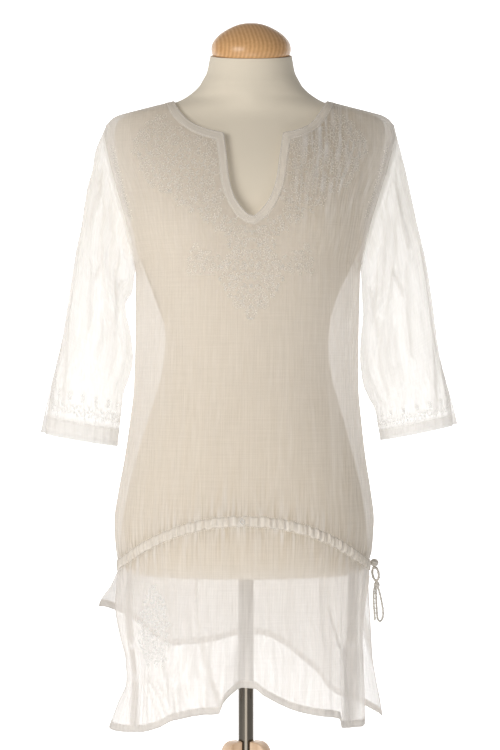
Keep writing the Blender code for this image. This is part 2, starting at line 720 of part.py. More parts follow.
def strip(name, rows, back_flags, heights, closed, finish):
    """A band made from the cloth's points, moved out.

    rows holds (angle, z) pairs across the band at each place along it, and heights how far
    each of its outer points stands off; its inner side lies just clear of the cloth.
    """
    outer, inner = [], []
    across = len(rows[0])
    for place, back, lift in zip(rows, back_flags, heights):
        angle = np.array([pair[0] for pair in place])
        z = np.array([pair[1] for pair in place])
        points = cloth(angle, z, back)
        normals = surface_normal(cloth, angle, z, back)
        for k in range(across):
            outer.append(points[k] + normals[k] * (LIE_GAP + lift[k]))
            inner.append(points[k] + normals[k] * LIE_GAP)
    count = len(rows)
    cells = []
    for r in range(count if closed else count - 1):
        after = (r + 1) % count
        for k in range(across - 1):
            cells.append([r * across + k, r * across + k + 1,
                          after * across + k + 1, after * across + k])
    return shell(name, outer, inner, cells, finish)


def casing(name, back, puckers):
    """The gathered drawstring channel across the front or the back."""
    columns = len(PUCKER_SHAPE) * puckers
    rows, heights = [], []
    for k in range(columns + 1):
        angle = CASING_END * (2 * k / columns - 1)
        top = float(casing_top(np.array(angle), back))
        uneven = 0.75 + 0.25 * math.sin(2.1 * k) * math.sin(0.37 * k + 1.0)
        crown = CASING_CROWN + PUCKER_HEIGHT * PUCKER_SHAPE[k % len(PUCKER_SHAPE)] * uneven
        rows.append([(angle, top), (angle, top - CASING_HEIGHT / 2), (angle, top - CASING_HEIGHT)])
        heights.append([WALL, crown, WALL])
    if back:
        rows = [list(reversed(place)) for place in rows]
    return strip(name, rows, [back] * len(rows), heights, False, "voile_band")


def band_place(edge, outer, side, back, on_ridge=False):
    """Three (angle, z) pairs across the neck band, from the neckline's edge outwards."""
    middle = ((edge[0] + outer[0]) / 2, (edge[1] + outer[1]) / 2)
    places = []
    for x, z in (edge, middle, outer):
        angle = math.pi / 2 if on_ridge else float(angle_at(x, z))
        places.append((side * angle, z))
    return places, back


def neck_band():
    """The facing round the neckline: down the notch in front and straight across the back."""
    front = []
    for first, second in zip(YOKE_ROWS[1:], YOKE_ROWS[2:]):
        between = YokeRow(*((a + b) / 2 for a, b in zip(first, second)))
        front += [first, between]
    bottom = YOKE_ROWS[-1]
    ridge = YOKE_ROWS[0]
    back = []
    for k in range(1, BACK_BAND_STEPS + 1):
        edge_x = NECK_POINT_X * (1 - (k / BACK_BAND_STEPS) ** 2)
        band_x = ridge.band_x * (1 - (k / BACK_BAND_STEPS) ** 2)
        low = BACK_NECK_Z - BAND_DROP
        band_z = low + (ridge.band_z - low) * (band_x / ridge.band_x) ** 2
        back.append(YokeRow(edge_x, float(back_neckline(edge_x)), band_x, band_z))

    def place(row, side, rear, on_ridge=False):
        return band_place((row.edge_x, row.edge_z), (row.band_x, row.band_z), side, rear, on_ridge)

    loop = [place(bottom, 1, False)]
    loop += [place(row, 1, False) for row in reversed(front)]
    loop.append(place(ridge, 1, False, True))
    loop += [place(row, 1, True) for row in back]
    loop += [place(row, -1, True) for row in reversed(back[:-1])]
    loop.append(place(ridge, -1, False, True))
    loop += [place(row, -1, False) for row in front]
    rows = [pairs for pairs, _ in loop]
    flags = [rear for _, rear in loop]
    return strip("neck_band", rows, flags, [[WALL] * 3] * len(rows), True, "voile_band")


# ---- sleeves ------------------------------------------------------------------------------

def armhole_ring(side):
    """The armhole's edge as a ring: shoulder, front, underarm, back."""
    rows = list(range(ARM_ROWS + 1))
    angles = np.array([side * arm_angle(row) for row in rows])
    heights = np.array([arm_z(row) for row in rows])
    front = hanging_cloth(angles, heights, False)
    back = hanging_cloth(angles, heights, True)
    front[[0, -1], 1] = 0.0
    ring = np.concatenate([front, back[-2:0:-1]])
    ring[:, 0] += side * SEAM_GAP
    return ring


def sleeve_ring(rings, number, side, angles):
    """A ring of a sleeve; rings are numbered from 1, whole or in between."""
    low = min(int(number), len(rings) - 1)
    share = number - low
    first, second = np.array(rings[low - 1]), np.array(rings[low])
    outer_x, outer_z, inner_x, inner_z, depth = first + (second - first) * share
    middle_x, middle_z = (outer_x + inner_x) / 2, (outer_z + inner_z) / 2
    x = middle_x + (outer_x - inner_x) / 2 * np.cos(angles)
    z = middle_z + (outer_z - inner_z) / 2 * np.cos(angles)
    return np.stack([side * x, -depth * np.sin(angles), z], axis=-1)


def sleeve_relief(number, angles):
    """How far the creases move a ring's points out."""
    degrees = np.degrees(angles) % 360.0
    total = 0.0 * degrees
    for fold in SLEEVE_FOLDS:
        t = (number - fold.from_ring) / (fold.to_ring - fold.from_ring)
        if 0.0 <= t <= 1.0:
            line = fold.from_angle + (fold.to_angle - fold.from_angle) * t
            along = math.sin(math.pi * t) ** 0.6
            total = total + fold.depth * along * np.exp(-((degrees - line) / fold.width) ** 2)
    return total


SLEEVE_STEPS = (1.0, 2.0, 3.0, 4.0, 5.0, 6.0, 7.0, 8.0, 9.0, 9.67, 10.0)


def sleeve(name, rings, side):
    """A set-in sleeve: a tube from the armhole to the cuff, slit on its outer side."""
    around = 2 * ARM_ROWS
    turn = np.linspace(0.0, 2 * math.pi, around + 1)
    armhole = armhole_ring(side)
    grid = [np.concatenate([armhole, armhole[:1]])]
    for number in SLEEVE_STEPS:
        open_share = max(0.0, (number - SLIT_TOP_RING) / (len(rings) - SLIT_TOP_RING))
        start = SLIT_ANGLE * open_share
        angles = start + turn * (1 - start / math.pi)
        ring = sleeve_ring(rings, number, side, angles)
        middle = ring.mean(axis=0)
        outward = (ring - middle) / np.linalg.norm(ring - middle, axis=-1, keepdims=True)
        grid.append(ring + outward * sleeve_relief(number, angles)[:, None])
    grid = lean(np.array(grid))
    closed = [True] + [number <= SLIT_TOP_RING for number in SLEEVE_STEPS]
    along = np.gradient(grid, axis=0)
    about = np.empty_like(grid)
    about[:, 1:-1] = grid[:, 2:] - grid[:, :-2]
    about[:, 0] = grid[:, 1] - grid[:, 0]
    about[:, -1] = grid[:, -1] - grid[:, -2]
    for r, whole in enumerate(closed):
        if whole:
            about[r, 0] = about[r, -1] = grid[r, 1] - grid[r, -2]
    normals = np.cross(about, along) * side
    normals /= np.linalg.norm(normals, axis=-1, keepdims=True)
    grid[0, :, 0] += side * WALL * np.clip(side * normals[0, :, 0], 0.0, None)
    outer, inner, index = [], [], {}
    for r, whole in enumerate(closed):
        for c in range(around + 1):
            if whole and c == around:
                index[r, c] = index[r, 0]
                continue
            index[r, c] = len(outer)
            extra = HEM_WALL - WALL if r == len(closed) - 1 else 0.0
            outer.append(grid[r, c] + normals[r, c] * extra)
            inner.append(grid[r, c] - normals[r, c] * WALL)
    cells = []
    for r in range(len(closed) - 1):
        for c in range(around):
            cell = [index[r, c], index[r, c + 1], index[r + 1, c + 1], index[r + 1, c]]
            if side < 0:
                cell.reverse()
            cells.append(cell)
    return shell(name, outer, inner, cells, "voile")


# ---- dress form and stand -----------------------------------------------------------------

BUST_X, BUST_Z, BUST_LIFT = 0.080, 1.2150, 0.0150
BUST_WIDTH, BUST_HEIGHT = 0.050, 0.055
NECK_FOOT_Z, NECK_RISE = 1.400, 0.060


def form_point(angle, z, back):
    """The dress form's surface before it leans."""
    point = section_point(FORM_SECTIONS, angle, z, back)
    if not back:
        across = (np.abs(point[..., 0]) - BUST_X) / BUST_WIDTH
        up = (point[..., 2] - BUST_Z) / BUST_HEIGHT
        point[..., 1] -= BUST_LIFT * np.exp(-across ** 2 - up ** 2)
    neck = np.clip((z - NECK_FOOT_Z) / NECK_RISE, 0.0, 1.0)
    point[..., 2] += math.tan(CAP_TILT) * point[..., 1] * neck * neck * (3 - 2 * neck)
    return point


def form_torso():
    """The jersey-covered form, whole, with a blind bore for its pole."""
    bm = bmesh.new()
    quarter = FORM_SEGMENTS // 4
    angles = np.linspace(-math.pi / 2, math.pi / 2, 2 * quarter + 1)
    rings = []
    for row in FORM_SECTIONS:
        height = np.full(len(angles), row.z)
        front = lean(form_point(angles, height, False))
        back = lean(form_point(angles[::-1], height, True))
        ring = np.concatenate([front, back[1:-1]])
        rings.append([bm.verts.new(point) for point in ring])
    bore = (POLE_RADIUS + POLE_CLEARANCE) / math.cos(math.pi / TURNED_SEGMENTS)
    turn = [math.pi + 2 * math.pi * k / len(rings[0]) for k in range(len(rings[0]))]
    for height in (FORM_BASE_Z, POLE_HEAD_Z + POLE_CLEARANCE):
        circle = [(bore * math.cos(angle), bore * math.sin(angle), height) for angle in turn]
        rings.append([bm.verts.new(point) for point in circle])
    for upper, lower in zip(rings, rings[1:]):
        for k in range(len(upper)):
            after = (k + 1) % len(upper)
            bm.faces.new((upper[k], lower[k], lower[after], upper[after]))
    bm.faces.new(rings[0])
    bm.faces.new(list(reversed(rings[-1])))
    return make_object("form_torso", bm, "jersey")


def neck_cap():
    """The turned beech cap, tilted forward with the neck."""
    top = lean([[0.0, 0.0, FORM_SECTIONS[0].z]])[0]

    def seat(bm):
        tilt = math.cos(CAP_TILT), math.sin(CAP_TILT)
        for vert in bm.verts:
            x, y, z = vert.co
            z += POLE_CLEARANCE
            vert.co = (top[0] + x, y * tilt[0] - z * tilt[1], top[2] + y * tilt[1] + z * tilt[0])

    return lathe("neck_cap", CAP_PROFILE, "beech", seat)


def pole():
    """The chrome pole, from the hub up into the form."""
    profile = ((POLE_RADIUS, POLE_FOOT_Z), (POLE_RADIUS, POLE_HEAD_Z))
    return lathe("pole", profile, "chrome")


def stand_hub():
    """The turned hub under the pole, between the legs."""
    top = POLE_FOOT_Z - POLE_CLEARANCE
    profile = ((HUB_TIP_RADIUS, HUB_FOOT_Z - HUB_TIP_HEIGHT), (POLE_RADIUS, HUB_FOOT_Z),
               (POLE_RADIUS, top))
    return lathe("stand_hub", profile, "beech")


def leg_edges(z):
    """Inner and outer radius of a leg at a height."""
    inner = POLE_RADIUS + POLE_CLEARANCE
    middle = inner + LEG_DEPTH / 2
    slope = 0.0
    if z < LEG_STRAIGHT_Z:
        share = 1 - z / LEG_STRAIGHT_Z
        middle += LEG_REACH * share ** LEG_CURVE
        slope = LEG_REACH * LEG_CURVE * share ** (LEG_CURVE - 1) / LEG_STRAIGHT_Z
    half = LEG_DEPTH / 2 * math.sqrt(1 + slope * slope)
    return middle - half, middle + half


def leg(number, azimuth):
    """One leg: a board along the pole with a rounded top, curving out to its foot."""
    levels = [LEG_STRAIGHT_Z * k / LEG_STEPS for k in range(LEG_STEPS + 1)]
    inner = [(leg_edges(z)[0], z) for z in levels]
    outer = [(leg_edges(z)[1], z) for z in levels]
    inner_r, outer_r = leg_edges(LEG_TOP_Z)
    corner = []
    for k in range(7):
        angle = math.pi / 2 * k / 6
        corner.append((outer_r - LEG_TOP_ROUND * (1 - math.cos(angle)),
                       LEG_TOP_Z - LEG_TOP_ROUND * (1 - math.sin(angle))))
    outline = outer + corner + [(inner_r, LEG_TOP_Z)] + inner[::-1]
    direction = math.radians(azimuth)
    radial = (math.cos(direction), math.sin(direction))
    side = (-radial[1], radial[0])
    bm = bmesh.new()
    walls = []
    for shift in (-LEG_THICKNESS / 2, LEG_THICKNESS / 2):
        walls.append([bm.verts.new((r * radial[0] + shift * side[0],
                                    r * radial[1] + shift * side[1], z)) for r, z in outline])
    near, far = walls
    bm.faces.new(near)
    bm.faces.new(list(reversed(far)))
    for k in range(len(outline)):
        after = (k + 1) % len(outline)
        bm.faces.new((near[after], near[k], far[k], far[after]))
    return make_object(f"leg_{number}", bm, "beech")


# ---- drawstring ends ----------------------------------------------------------------------

def knot(name, centre, radii):
    """A small tied knot."""
    bm = bmesh.new()
    bmesh.ops.create_icosphere(bm, subdivisions=2, radius=1.0)
    bmesh.ops.scale(bm, vec=radii, verts=bm.verts)
    bmesh.ops.translate(bm, vec=centre, verts=bm.verts)
    return make_object(name, bm, "cord")


def spline_points(route, spacing):
    """Points a set distance apart on a smooth curve through a route."""
    knots = np.array(route)
    padded = np.vstack([2 * knots[0] - knots[1], knots, 2 * knots[-1] - knots[-2]])
    fine = []
    for p0, p1, p2, p3 in zip(padded, padded[1:], padded[2:], padded[3:]):
        for t in np.linspace(0.0, 1.0, 12, endpoint=False):
            fine.append(0.5 * (2 * p1 + (p2 - p0) * t + (2 * p0 - 5 * p1 + 4 * p2 - p3) * t ** 2
                               + (3 * p1 - p0 - 3 * p2 + p3) * t ** 3))
    fine.append(knots[-1])
    fine = np.array(fine)
    run = np.concatenate([[0.0], np.cumsum(np.linalg.norm(np.diff(fine, axis=0), axis=1))])
    count = max(2, round(run[-1] / spacing))
    wanted = np.linspace(0.0, run[-1], count + 1)
    return np.stack([np.interp(wanted, run, fine[:, k]) for k in range(3)], axis=-1)


def tube(name, points, cyclic):
    """A round cord through points."""
    curve = bpy.data.curves.new(name, "CURVE")
    curve.dimensions = "3D"
    curve.bevel_depth = CORD_DIAMETER / 2
    curve.bevel_resolution = 2
    curve.use_fill_caps = True
    spline = curve.splines.new("POLY")
    spline.points.add(len(points) - 1)
    for target, point in zip(spline.points, points):
        target.co = (*point, 1.0)
    spline.use_cyclic_u = cyclic
    obj = bpy.data.objects.new(name, curve)
    bpy.context.scene.collection.objects.link(obj)
    give_finish(obj, "cord")
    return obj


def drawstring_ends():
    """The bow between two knots, the long loop and the loose end, all at the left hip."""
    upper, lower = np.array(TIE_KNOT_UPPER), np.array(TIE_KNOT_LOWER)
    span = np.linalg.norm(upper - lower)
    up = (upper - lower) / span
    low_end = TIE_KNOT_RADII[1][2] + POLE_CLEARANCE + CORD_DIAMETER / 2
    high_end = span - TIE_KNOT_RADII[0][2] - POLE_CLEARANCE - CORD_DIAMETER / 2
    bow = []
    for k in range(TIE_BOW_POINTS):
        angle = 2 * math.pi * k / TIE_BOW_POINTS
        rise = (low_end + high_end) / 2 + (high_end - low_end) / 2 * math.sin(angle)
        bow.append(lower + up * rise + np.array(TIE_BOW_ACROSS) * math.cos(angle))
    return [
        knot("tie_knot_upper", TIE_KNOT_UPPER, TIE_KNOT_RADII[0]),
        knot("tie_knot_lower", TIE_KNOT_LOWER, TIE_KNOT_RADII[1]),
        tube("tie_bow", bow, True),
        tube("tie_loop", spline_points(TIE_LOOP_ROUTE, CORD_SPACING), False),
        tube("tie_end", spline_points(TIE_END_ROUTE, CORD_SPACING), False),
    ]


# ---- assembly -----------------------------------------------------------------------------

def clear_scene():
    """Start from an empty scene."""
    for obj in list(bpy.data.objects):
        bpy.data.objects.remove(obj, do_unlink=True)


def centre_on_base(solid_objects, all_objects):
    """Move everything so that the middle of the base of the solid objects is the origin."""
    corners = np.array([vert.co for obj in solid_objects for vert in obj.data.vertices])
    low, high = corners.min(axis=0), corners.max(axis=0)
    shift = (-(low[0] + high[0]) / 2, -(low[1] + high[1]) / 2, -low[2])
    for obj in all_objects:
        obj.location = shift


def main():
    """Build every piece and set it on its base."""
    clear_scene()
    solid = [
        form_torso(),
        neck_cap(),
        pole(),
        stand_hub(),
        panel("front_panel", False),
        panel("back_panel", True),
        sleeve("sleeve_left", LEFT_SLEEVE_RINGS, 1),
        sleeve("sleeve_right", RIGHT_SLEEVE_RINGS, -1),
        neck_band(),
        casing("casing_front", False, CASING_PUCKERS),
        casing("casing_back", True, BACK_CASING_PUCKERS),
    ]
    for number, azimuth in enumerate(LEG_AZIMUTHS, start=1):
        solid.append(leg(number, azimuth))
    centre_on_base(solid, solid + drawstring_ends())


main()
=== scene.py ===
"""A sheer embroidered tunic blouse on a dress form, dressed for close looking.

Metres, +Z up, the front facing -Y. Shapes are laid out round the stand's pole and then moved
to where the fixed frame has the pole.
"""

from __future__ import annotations

import logging
import math
from dataclasses import dataclass, field
from enum import Enum
from typing import Callable, Iterable, NamedTuple, Optional, Sequence, Union

import bmesh
import bpy
import numpy as np
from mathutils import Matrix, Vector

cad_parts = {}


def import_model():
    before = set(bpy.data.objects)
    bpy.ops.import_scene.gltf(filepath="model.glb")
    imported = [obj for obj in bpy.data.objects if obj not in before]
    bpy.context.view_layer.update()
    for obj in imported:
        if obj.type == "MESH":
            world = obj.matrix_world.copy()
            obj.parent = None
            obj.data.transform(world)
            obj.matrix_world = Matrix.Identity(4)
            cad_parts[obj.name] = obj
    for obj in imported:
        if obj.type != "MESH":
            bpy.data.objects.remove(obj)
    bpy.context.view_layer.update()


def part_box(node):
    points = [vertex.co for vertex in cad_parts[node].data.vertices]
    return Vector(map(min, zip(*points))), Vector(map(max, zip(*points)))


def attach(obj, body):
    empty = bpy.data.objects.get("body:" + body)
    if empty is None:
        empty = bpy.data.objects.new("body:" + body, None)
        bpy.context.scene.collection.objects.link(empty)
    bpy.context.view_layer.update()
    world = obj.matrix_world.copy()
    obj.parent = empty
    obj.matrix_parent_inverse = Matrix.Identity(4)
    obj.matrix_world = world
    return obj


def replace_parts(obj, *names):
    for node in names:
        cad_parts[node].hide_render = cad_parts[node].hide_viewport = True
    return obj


LOG = logging.getLogger("tunic")

LEAN = 0.0148            # the form sits a little out of plumb on its pole, metres a metre
LEAN_PIVOT_Z = 0.98
QUARTER = math.pi / 2
TURN = 2 * math.pi

Array = np.ndarray
Colour = tuple[float, float, float, float]
Points = Sequence[Sequence[float]]
Material = bpy.types.Material
Mesh = bmesh.types.BMesh
Piece = bpy.types.Object


class Face(Enum):
    """Half of the body."""

    FRONT = "front"
    BACK = "back"


class Side(Enum):
    """The wearer's side; the wearer's left is the viewer's right."""

    LEFT = 1
    RIGHT = -1


class Grain(Enum):
    """How the wood of a piece is cut."""

    ACROSS = "across"
    ALONG = "along"


# ---- tables

def table(text: str, kind: Callable = lambda *row: row) -> tuple:
    """Rows of numbers, parted by semicolons, as plain or named tuples."""
    return tuple(kind(*map(float, row.split())) for row in text.split(";"))


class Section(NamedTuple):
    """One level cut: half width, depth of the front and back halves, squareness."""

    z: float
    half_width: float
    front: float
    back: float
    exponent: float


CLOTH_SECTIONS = table("""
    1.405 .1085 .062 .076 1.5; 1.402 .123 .062 .0765 1.5; 1.396 .147 .0625 .0775 1.5;
    1.39 .1705 .0635 .0785 1.52; 1.385 .188 .065 .08 1.56; 1.379 .1975 .068 .082 1.62;
    1.368 .2055 .0745 .086 1.72; 1.345 .2115 .09 .093 1.86; 1.31 .211 .109 .103 2;
    1.275 .203 .124 .111 2.1; 1.24 .1905 .135 .115 2.15; 1.2 .173 .14 .114 2.22;
    1.168 .159 .1395 .111 2.28; 1.12 .1585 .1335 .108 2.28; 1.06 .158 .1265 .109 2.25;
    1 .159 .123 .114 2.22; .95 .164 .122 .121 2.2; .9 .1705 .1225 .1265 2.2;
    .85 .179 .1235 .1295 2.2; .811 .1838 .1235 .13 2.2; .78 .1818 .1225 .129 2.2;
    .755 .1785 .121 .1275 2.2; .7 .178 .1225 .129 2.2; .62 .1765 .1245 .13 2.2;
    .5 .178 .127 .132 2.2""", Section)

FORM_SECTIONS = table("""
    1.47 .058 .052 .057 2; 1.459 .06 .0525 .058 2; 1.447 .0625 .053 .059 2;
    1.436 .068 .054 .0605 1.95; 1.4245 .075 .0555 .0625 1.85; 1.417 .0835 .0565 .064 1.7;
    1.409 .095 .0575 .065 1.52; 1.403 .1065 .058 .0665 1.42; 1.3937 .147 .0585 .069 1.42;
    1.388 .169 .059 .0705 1.45; 1.382 .183 .06 .072 1.5; 1.374 .19 .063 .0745 1.58;
    1.36 .1925 .0705 .079 1.72; 1.34 .1905 .0815 .085 1.86; 1.31 .185 .0965 .0935 2;
    1.28 .1775 .1075 .0995 2.05; 1.25 .1715 .114 .103 2.1; 1.215 .165 .1165 .104 2.1;
    1.19 .156 .116 .103 2.1; 1.165 .144 .113 .1005 2.1; 1.125 .126 .1035 .095 2.1;
    1.087 .117 .0945 .092 2.1; 1.06 .1155 .0915 .0925 2.1; 1.02 .12 .093 .097 2.1;
    .98 .1307 .0975 .1045 2.12; .94 .1425 .102 .111 2.15; .89 .1565 .1055 .1165 2.18;
    .84 .1675 .1065 .1185 2.2; .8 .1735 .1065 .118 2.2; .765 .175 .106 .1165 2.2;
    .748 .1735 .1045 .1145 2.2; .74 .168 .0995 .1095 2.2; .737 .158 .0905 .1005 2.2""", Section)


class YokeRow(NamedTuple):
    """Neckline point and outer edge of the neck band in the front view, for x >= 0."""

    edge_x: float
    edge_z: float
    band_x: float
    band_z: float


YOKE_ROWS = table("""
    .1085 1.405 .1205 1.4025; .107 1.402 .1187 1.3985; .1035 1.395 .115 1.39;
    .0968 1.383 .1075 1.3765; .087 1.37 .0955 1.3615; .0745 1.3605 .08 1.35;
    .0585 1.3538 .062 1.342; .0402 1.3493 .0515 1.3388; .0361 1.3196 .048 1.318;
    .0311 1.2806 .043 1.2785; .0236 1.2566 .034 1.2515; .0118 1.2392 .0195 1.2295;
    0 1.229 0 1.2165""", YokeRow)
NOTCH_CORNER_ROW = 7


class EdgePoint(NamedTuple):
    """A place on the armhole, in the front view."""

    z: float
    x: float


ARMHOLE = table("""
    1.372 .203; 1.358 .204; 1.33 .1985; 1.301 .1905; 1.27 .181; 1.2385 .1715; 1.21 .1645;
    1.1875 .1605; 1.168 .159""", EdgePoint)


class HemPoint(NamedTuple):
    """Height of a hem at a place across the body."""

    x: float
    z: float


FRONT_HEM = table("""
    -.19 .5195; -.14 .527; -.112 .537; -.091 .549; -.061 .5567; -.029 .562; -.0235 .576;
    -.012 .588; 0 .595; .015 .5945; .032 .5835; .07 .564; .097 .556; .133 .547; .139 .5335;
    .165 .529; .19 .526""", HemPoint)
BACK_HEM = table("""
    -.19 .69; -.16 .665; -.13 .633; -.1 .615; -.05 .618; 0 .628; .03 .627; .06 .615; .085 .598;
    .11 .579; .13 .553; .14 .545; .16 .54; .19 .529""", HemPoint)


class EdgeDrift(NamedTuple):
    """How far each free side edge stands out past its section below the channel."""

    z: float
    front_left: float
    front_right: float
    back_left: float
    back_right: float


EDGE_DRIFT = table("""
    1.5 0 0 0 0; .745 0 0 0 0; .72 .001 -.002 .009 0; .69 .003 -.005 .027 .002;
    .65 -.003 -.007 .03 .006; .615 -.012 -.005 .03 .009; .585 -.014 -.004 .03 .014;
    .555 -.003 -.003 .03 .02; .515 .011 -.003 .03 .026""", EdgeDrift)


class Fold(NamedTuple):
    """A crease in a panel, from its upper to its lower end; positive stands out."""

    upper_x: float
    upper_z: float
    lower_x: float
    lower_z: float
    depth: float
    width: float


FRONT_FOLDS = table("""
    -.158 .715 -.146 .5 -.006 .013; -.02 .69 -.026 .54 .007 .013; .004 .68 .002 .56 -.0045 .013;
    -.088 .73 -.083 .51 .0045 .016; .052 .735 .062 .53 -.0035 .014; .103 .72 .116 .5 .005 .016;
    .148 .74 .15 .5 -.0045 .013; -.12 1.11 -.138 .85 .004 .018; -.052 1.06 -.062 .83 .0025 .018;
    .06 1.08 .072 .84 .0025 .018; .124 1.12 .14 .83 .0045 .016""", Fold)
FRONT_FINE_FOLDS = table("""
    -.134 .735 -.118 .52 .0032 .006; -.118 .66 -.092 .54 -.0026 .0045;
    -.108 .65 -.078 .545 .0022 .0045; -.098 .645 -.064 .55 -.0022 .0045;
    -.072 .735 -.05 .56 -.0024 .0055; -.044 .74 -.034 .565 .003 .006;
    .128 .735 .134 .53 .0034 .0065; .14 .7 .158 .56 -.003 .0055; .16 .735 .168 .52 .0026 .006;
    -.15 1.13 -.16 .86 -.0022 .008; -.136 1.08 -.15 .8 .002 .006; -.086 1 -.1 .81 .0016 .007;
    .094 1.01 .104 .815 .0016 .007; .142 1.12 .156 .83 -.0024 .007;
    .11 1.03 .122 .8 -.0014 .006; -.17 1.34 -.14 1.19 -.0016 .009;
    .168 1.33 .142 1.18 -.0018 .009""", Fold)


# bands where the cloth lies doubled over itself with no crease modelled; their depth column is the
# share that is doubled, which thickens the voile and darkens it with painted shade
FRONT_STRIPS = table("""
    -.156 .748 -.16 .64 .9 .006; -.121 .742 -.1215 .62 .4 .0205; -.16 .64 -.1575 .6 1 .005;
    -.1575 .6 -.148 .515 .98 .0065; -.104 .745 -.099 .64 .57 .005;
    -.098 .735 -.096 .65 .52 .0022; -.064 .742 -.0635 .712 .83 .0022;
    -.08 .69 -.056 .6 .38 .0045; -.064 .712 -.056 .66 .42 .0035; -.056 .665 -.04 .6 .63 .006;
    -.04 .605 -.027 .57 .83 .005; -.138 .615 -.108 .545 .63 .0022;
    -.13 .612 -.096 .548 .69 .0022; -.123 .612 -.088 .556 .51 .0022;
    -.114 .622 -.07 .566 .45 .0022; -.106 .632 -.066 .58 .42 .0022;
    -.142 .606 -.124 .54 .51 .0022; -.047 .73 -.043 .64 .24 .0022; .03 .735 .034 .66 .21 .0028;
    .062 .742 .07 .62 .27 .0035; .105 .744 .108 .64 .36 .003; .118 .7 .129 .65 .68 .0024;
    .126 .66 .148 .61 .68 .0024; .152 .748 .156 .64 .93 .008; .154 .65 .153 .515 .83 .0125;
    .169 .748 .172 .6 .6 .004""", Fold)
BACK_STRIPS = table("""
    -.162 .742 -.178 .65 .45 .02; -.1 .74 -.098 .62 .33 .006; -.03 .74 -.026 .62 .3 .005;
    .06 .74 .068 .6 .3 .007; .118 .744 .126 .56 .45 .01; .158 .744 .19 .54 .6 .0045""", Fold)
BACK_FOLDS = table("""
    -.11 1.15 -.12 .85 .0045 .02; -.04 1.12 -.05 .83 .0035 .022; .045 1.14 .052 .84 .004 .022;
    .112 1.12 .126 .83 .0045 .02; -.125 .75 -.12 .56 .0055 .018; -.06 .74 -.055 .56 -.005 .02;
    .02 .74 .022 .56 .0055 .02; .095 .75 .1 .5 -.005 .02; .145 .74 .15 .5 .0045 .016""", Fold)
BACK_FINE_FOLDS = table("""
    -.09 .745 -.086 .56 .0022 .0065; -.02 .745 -.016 .56 -.0024 .007;
    .062 .74 .07 .56 .0022 .0065; .122 .74 .128 .53 -.0026 .0065;
    -.146 1.12 -.156 .83 -.0022 .008; -.078 1.06 -.088 .82 .0018 .008;
    .004 1.04 0 .82 -.0016 .009; .086 1.05 .094 .83 .0018 .008; .146 1.11 .158 .84 -.0022 .008
    """, Fold)


class SleeveRing(NamedTuple):
    """A cut across a sleeve: its outer and inner points in the front view, half its depth."""

    outer_x: float
    outer_z: float
    inner_x: float
    inner_z: float
    depth: float


LEFT_SLEEVE_RINGS = table("""
    .2194 1.3152 .1616 1.15 .056; .23 1.2712 .1625 1.1278 .053; .2376 1.2371 .1645 1.1065 .051;
    .2451 1.2087 .1636 1.0866 .049; .2542 1.1689 .1614 1.064 .047;
    .262 1.1207 .1614 1.0383 .045; .2699 1.0667 .166 1.0056 .043;
    .2768 1.0312 .1746 .9843 .0415; .2888 .9929 .1841 .9659 .04; .3015 .9474 .1918 .9247 .039
    """, SleeveRing)
RIGHT_SLEEVE_RINGS = table("""
    .2183 1.3365 .1616 1.153 .056; .2228 1.308 .1642 1.1334 .053;
    .2302 1.2783 .1725 1.1207 .051; .2379 1.2243 .1715 1.1008 .049;
    .2445 1.1917 .1662 1.0809 .047; .2509 1.1448 .1631 1.0596 .045;
    .2574 1.0994 .1616 1.0369 .043; .2639 1.0582 .1674 1.0113 .0415;
    .2759 1.0099 .1748 .9858 .04; .2918 .9354 .1816 .9162 .039""", SleeveRing)


class SleeveFold(NamedTuple):
    """A lengthwise crease in a sleeve, in rings and degrees from its outer edge."""

    from_ring: float
    to_ring: float
    from_angle: float
    to_angle: float
    depth: float
    width: float


SLEEVE_FOLDS = table("""
    .5 7 75 95 -.006 20; 1 9 48 40 .0045 18; 3 9.6 120 135 .005 20; 1 8 230 240 .005 22;
    2 9.6 285 275 -.006 22""", SleeveFold)
# its depth column says how much of the cloth lies doubled there; the voile thickens there and
# darkens it with painted shade along the sleeve's folds
SLEEVE_STRIPS = table("""
    .2 4.2 52 60 .61 4.6; 3.6 7.6 60 82 .49 5.2; 2.6 5.4 92 76 .58 4; .8 4.6 84 120 .32 25.3;
    1 5 108 136 .55 4.6; 1.8 6.6 138 118 .43 5.8; 4.8 9 112 124 .43 4.6; 5.6 8.2 92 100 .46 4;
    3.4 8.6 22 30 .58 5.8; 6.6 9.98 34 46 .52 6.3; 7.4 9.98 16 12 .65 4.6;
    2 8.6 246 262 .32 6.9; .6 5.6 286 300 .35 5.8; 5 9.6 214 226 .35 5.8""", SleeveFold)
SLEEVE_FINE_FOLDS = table("""
    .3 5 60 112 .0026 6; .6 6.5 84 138 -.0024 6.5; 1.4 4.6 150 104 .0028 7;
    2.2 6 168 118 -.0024 6.5; 4.4 9.9 66 58 .0022 6; 5.2 9.9 98 104 -.0022 6.5;
    3.2 8.4 24 30 -.0022 7; 1.2 5.4 214 262 .0024 7; 2.4 8 306 318 .0024 7.5;
    4.6 9.9 198 216 -.0024 7""", SleeveFold)

# radius and height of the turned cap
CAP_PROFILE = table("""
    0 0; .053 0; .0545 .0006; .0555 .0025; .0562 .005; .0566 .0085; .0565 .012; .0555 .0162;
    .0537 .02; .051 .0237; .0478 .0271; .044 .0304; .0398 .0334; .0352 .0362; .0303 .0388;
    .025 .0412; .0196 .0432; .014 .0447; .008 .0456; 0 .0459""")
CAP_TILT = math.radians(14.5)

